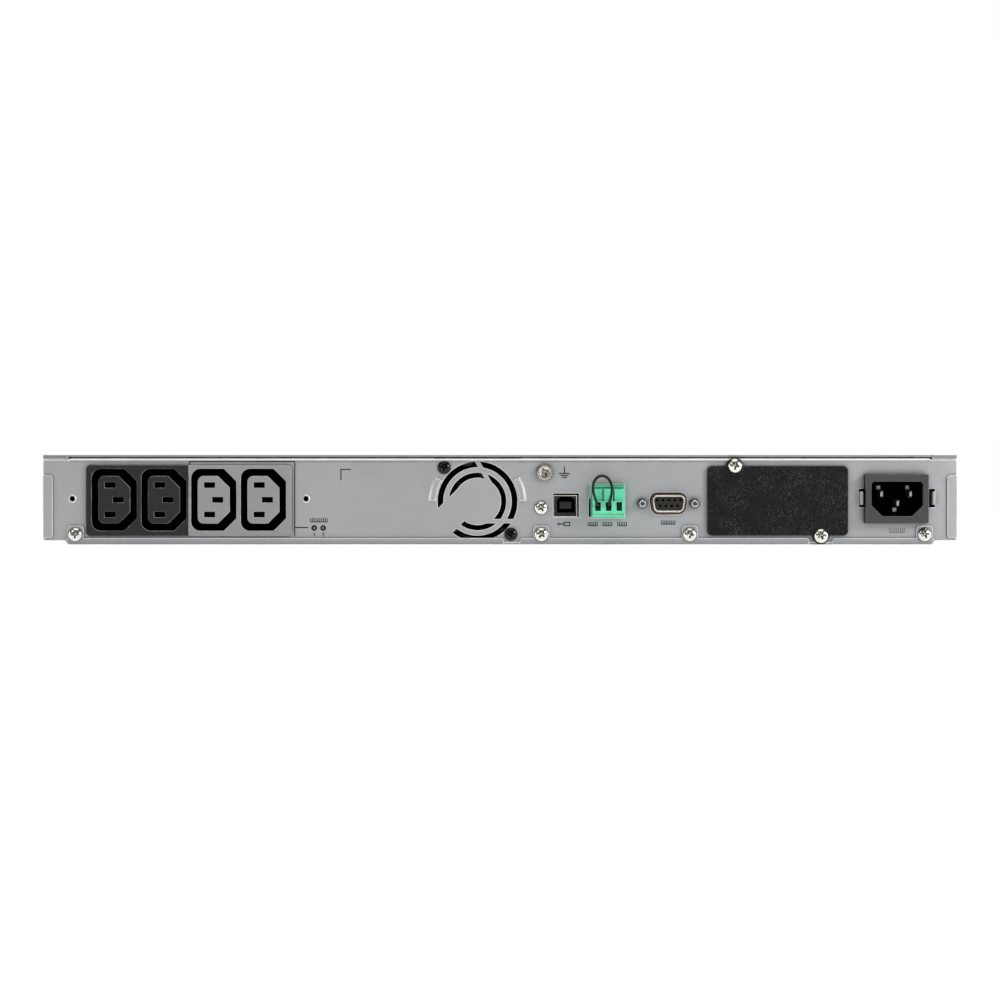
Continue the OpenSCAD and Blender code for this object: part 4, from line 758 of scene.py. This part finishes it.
def jumper_wire():
    """The looped wire between two poles of the terminal plug."""
    points = [on_rear(TERMINAL_U + u, TERMINAL_V + v, out) for u, v, out in WIRE_ROUTE]
    curve = bpy.data.curves.new("jumper_wire_insulation", "CURVE")
    curve.dimensions = "3D"
    curve.bevel_depth = WIRE_D / 2 * MM
    curve.bevel_resolution = 5
    curve.resolution_u = 8
    curve.use_fill_caps = True
    spline = curve.splines.new("NURBS")
    spline.points.add(len(points) - 1)
    for target, point in zip(spline.points, points):
        target.co = (*point, 1)
    spline.use_endpoint_u = True
    spline.order_u = 3
    curve.materials.append(WIRE_BLACK)
    wire = bpy.data.objects.new("jumper_wire_insulation", curve)
    bpy.context.scene.collection.objects.link(wire)
    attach(wire, "terminal_plug")
    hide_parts("jumper_wire")


jumper_wire()


# ---- marks printed on the rear panel ----

LINE = 0.5         # width of a printed line, in mm


def earth_mark():
    """The earth symbol beside the ground screw."""
    mesh = bmesh.new()
    u, stem_v, stem_h = 30.9, 35.75, 3.3
    bars = ((34.1, 5.2), (33.1, 3.7), (32.2, 2.0))         # height and width of each
    printed(mesh, bar(LINE, stem_h), u, stem_v)
    for v, width in bars:
        printed(mesh, bar(width, LINE), u, v)
    piece("earth_mark", mesh, INK_BLACK)


def ticks(name, low_u, high_u, v, height, count, material=INK_BLACK, line=0.38):
    """A row of plain ticks on a thin base line, where the real thing has a word."""
    mesh = bmesh.new()
    printed(mesh, bar(high_u - low_u, line), (low_u + high_u) / 2, v - (height - line) / 2)
    for i in range(count):
        u = low_u + line / 2 + (high_u - low_u - line) * i / (count - 1)
        printed(mesh, bar(line, height - line), u, v + line / 2)
    piece(name, mesh, material)


def group_line():
    """The line round the switched outlets, with its branch to the group's marks."""
    left, right, top, foot, branch = -148.9, -98.4, 39.9, 4.2, 8.2
    hook_h, branch_w = 1.6, 6.2
    mesh = bmesh.new()
    printed(mesh, bar(right - left, LINE), (left + right) / 2, top)
    printed(mesh, bar(LINE, hook_h), left, top - 1)
    printed(mesh, bar(LINE, top - foot), right, (top + foot) / 2 - LINE / 2)
    printed(mesh, bar(branch_w, LINE), right + 3.3, branch)
    piece("group_line", mesh, INK_BLACK)


def group_marks():
    """Two round socket marks, numbered 1 and 2."""
    mesh = bmesh.new()
    first_u, second_u = -89.1, -84.8
    ring_v, digit_v = 8.0, 4.8
    for u in (first_u, second_u):
        ring(mesh, 0.95, 0.85, u, ring_v)
        printed(mesh, bar(1.6, 0.3), u, ring_v)
    one = [(-0.3, 0.45), (0.1, 0.8), (0.1, -0.8)]
    two = arc(0.42, 160, -40, 8, 0, 0.38) + [(-0.42, -0.68), (0.5, -0.68)]
    printed(mesh, stroke(one, 0.36), first_u, digit_v)
    printed(mesh, stroke(two, 0.36), second_u, digit_v)
    piece("group_marks", mesh, INK_BLACK)


def corner_mark():
    """A corner line that marks where a plate was lined up."""
    mesh = bmesh.new()
    u, v, arm = -76.5, 36.1, 5
    printed(mesh, bar(arm, LINE), u + arm / 2, v)
    printed(mesh, bar(LINE, arm), u + LINE / 2, v - arm / 2 - LINE / 2)
    piece("corner_mark", mesh, INK_BLACK)


def port_mark():
    """A plain socket and lead below the square port."""
    u, v = 31.2, 9.9
    socket_u, socket_w, socket_h, line = u + 0.9, 2.6, 1.6, 0.45
    mesh = bmesh.new()
    for side in (LEFT, RIGHT):
        printed(mesh, bar(line, 1.9), socket_u + side * socket_w / 2, v)
        printed(mesh, bar(2.3, line), socket_u, v + side * socket_h / 2)
    printed(mesh, bar(2.2, LINE), u - 1.7, v)
    ring(mesh, 0.5, 0.4, u - 3.1, v)
    piece("port_mark", mesh, INK_BLACK)


def button_marks():
    """A plain sign on each of the front's four round buttons."""
    half = 1.5         # half a sign's width
    signs = {
        "escape_button": [stroke([(-half, side * half), (half, -side * half)], LINE)
                          for side in (LEFT, RIGHT)],
        "up_button": [[(-half, -1), (half, -1), (0, half)]],
        "down_button": [[(-half, 1), (0, -half), (half, 1)]],
        "enter_button": [stroke(arc(half, start, start + 180), LINE) for start in (0, 180)],
    }
    for button, outlines in signs.items():
        low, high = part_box(button)
        face = Vector(((low.x + high.x) / 2, low.y, (low.z + high.z) / 2))
        mesh = bmesh.new()
        for outline in outlines:
            prism(mesh, outline, face, -VIEW_RIGHT, UP, -BACKWARDS, INK_THICKNESS)
        piece(button.replace("button", "mark"), mesh, INK_WHITE, body=button)


earth_mark()
button_marks()
group_line()
group_marks()
corner_mark()
port_mark()
ticks("group_label", -91, -82.7, 11.7, 2, 10)
for index, middle_u in enumerate((44.5, 51.5, 58.5)):
    ticks(f"terminal_label_{index + 1}", middle_u - 2.3, middle_u + 2.3, 9.9, 2, 6)
ticks("serial_label", 77.2, 84.1, 10.6, 2, 9)
ticks("inlet_label", 186.5, 193.9, 6.75, 2.1, 9, INK_GREY, 0.25)


# ---- floor and light ----

def floor():
    mesh = bmesh.new()
    bmesh.ops.create_circle(mesh, cap_ends=True, radius=2.4, segments=96)
    data = bpy.data.meshes.new("floor")
    mesh.to_mesh(data)
    mesh.free()
    made = bpy.data.objects.new("floor", data)
    bpy.context.scene.collection.objects.link(made)
    f = Finish("pale_floor", (0.93, 0.93, 0.93, 1), 0.9, sheen=0.0)
    f.tint(f.noise(400, 2), 0.004)
    data.materials.append(f.done(Emission_Color=(1, 1, 1, 1), Emission_Strength=0.7))


def area_light(name, place, target, size, power, colour=(1, 1, 1)):
    data = bpy.data.lights.new(name, "AREA")
    data.shape = "RECTANGLE"
    data.size, data.size_y = size
    data.energy = power
    data.color = colour
    made = bpy.data.objects.new(name, data)
    bpy.context.scene.collection.objects.link(made)
    made.location = place
    made.rotation_euler = (Vector(target) - Vector(place)).to_track_quat("-Z", "Y").to_euler()


floor()
REAR_MIDDLE = (0, REAR_Y, 0.02)
area_light("ceiling_light", (0, 0, 3.2), (0, 0, 0), (3, 7), 86)
area_light("key_light", (-1.0, 1.1, 0.5), REAR_MIDDLE, (0.45, 0.35), 10, (0.97, 0.99, 1.0))
area_light("fill_light", (0.9, 1.3, 0.8), REAR_MIDDLE, (0.6, 0.6), 2.0, (1.0, 0.94, 0.85))
area_light("front_light", (0.8, -1.5, 0.8), (0, -0.2, 0.02), (0.8, 0.6), 12)
for side in (LEFT, RIGHT):
    area_light("side_light", (side * 1.6, 0.6, 0.25), REAR_MIDDLE, (0.5, 0.5), 3)


def studio_world():
    """White behind the object, and dim where it lights and is mirrored."""
    world = bpy.data.worlds.new("studio")
    world.use_nodes = True
    nodes, links = world.node_tree.nodes, world.node_tree.links
    background = nodes["Background"]
    background.inputs["Color"].default_value = (1, 1, 1, 1)
    seen = nodes.new("ShaderNodeLightPath").outputs["Is Camera Ray"]
    strength = nodes.new("ShaderNodeMapRange")
    strength.inputs["To Min"].default_value = 0.1
    strength.inputs["To Max"].default_value = 1.0
    links.new(seen, strength.inputs["Value"])
    links.new(strength.outputs[0], background.inputs["Strength"])
    bpy.context.scene.world = world


studio_world()
bpy.context.scene.view_settings.view_transform = "Standard"
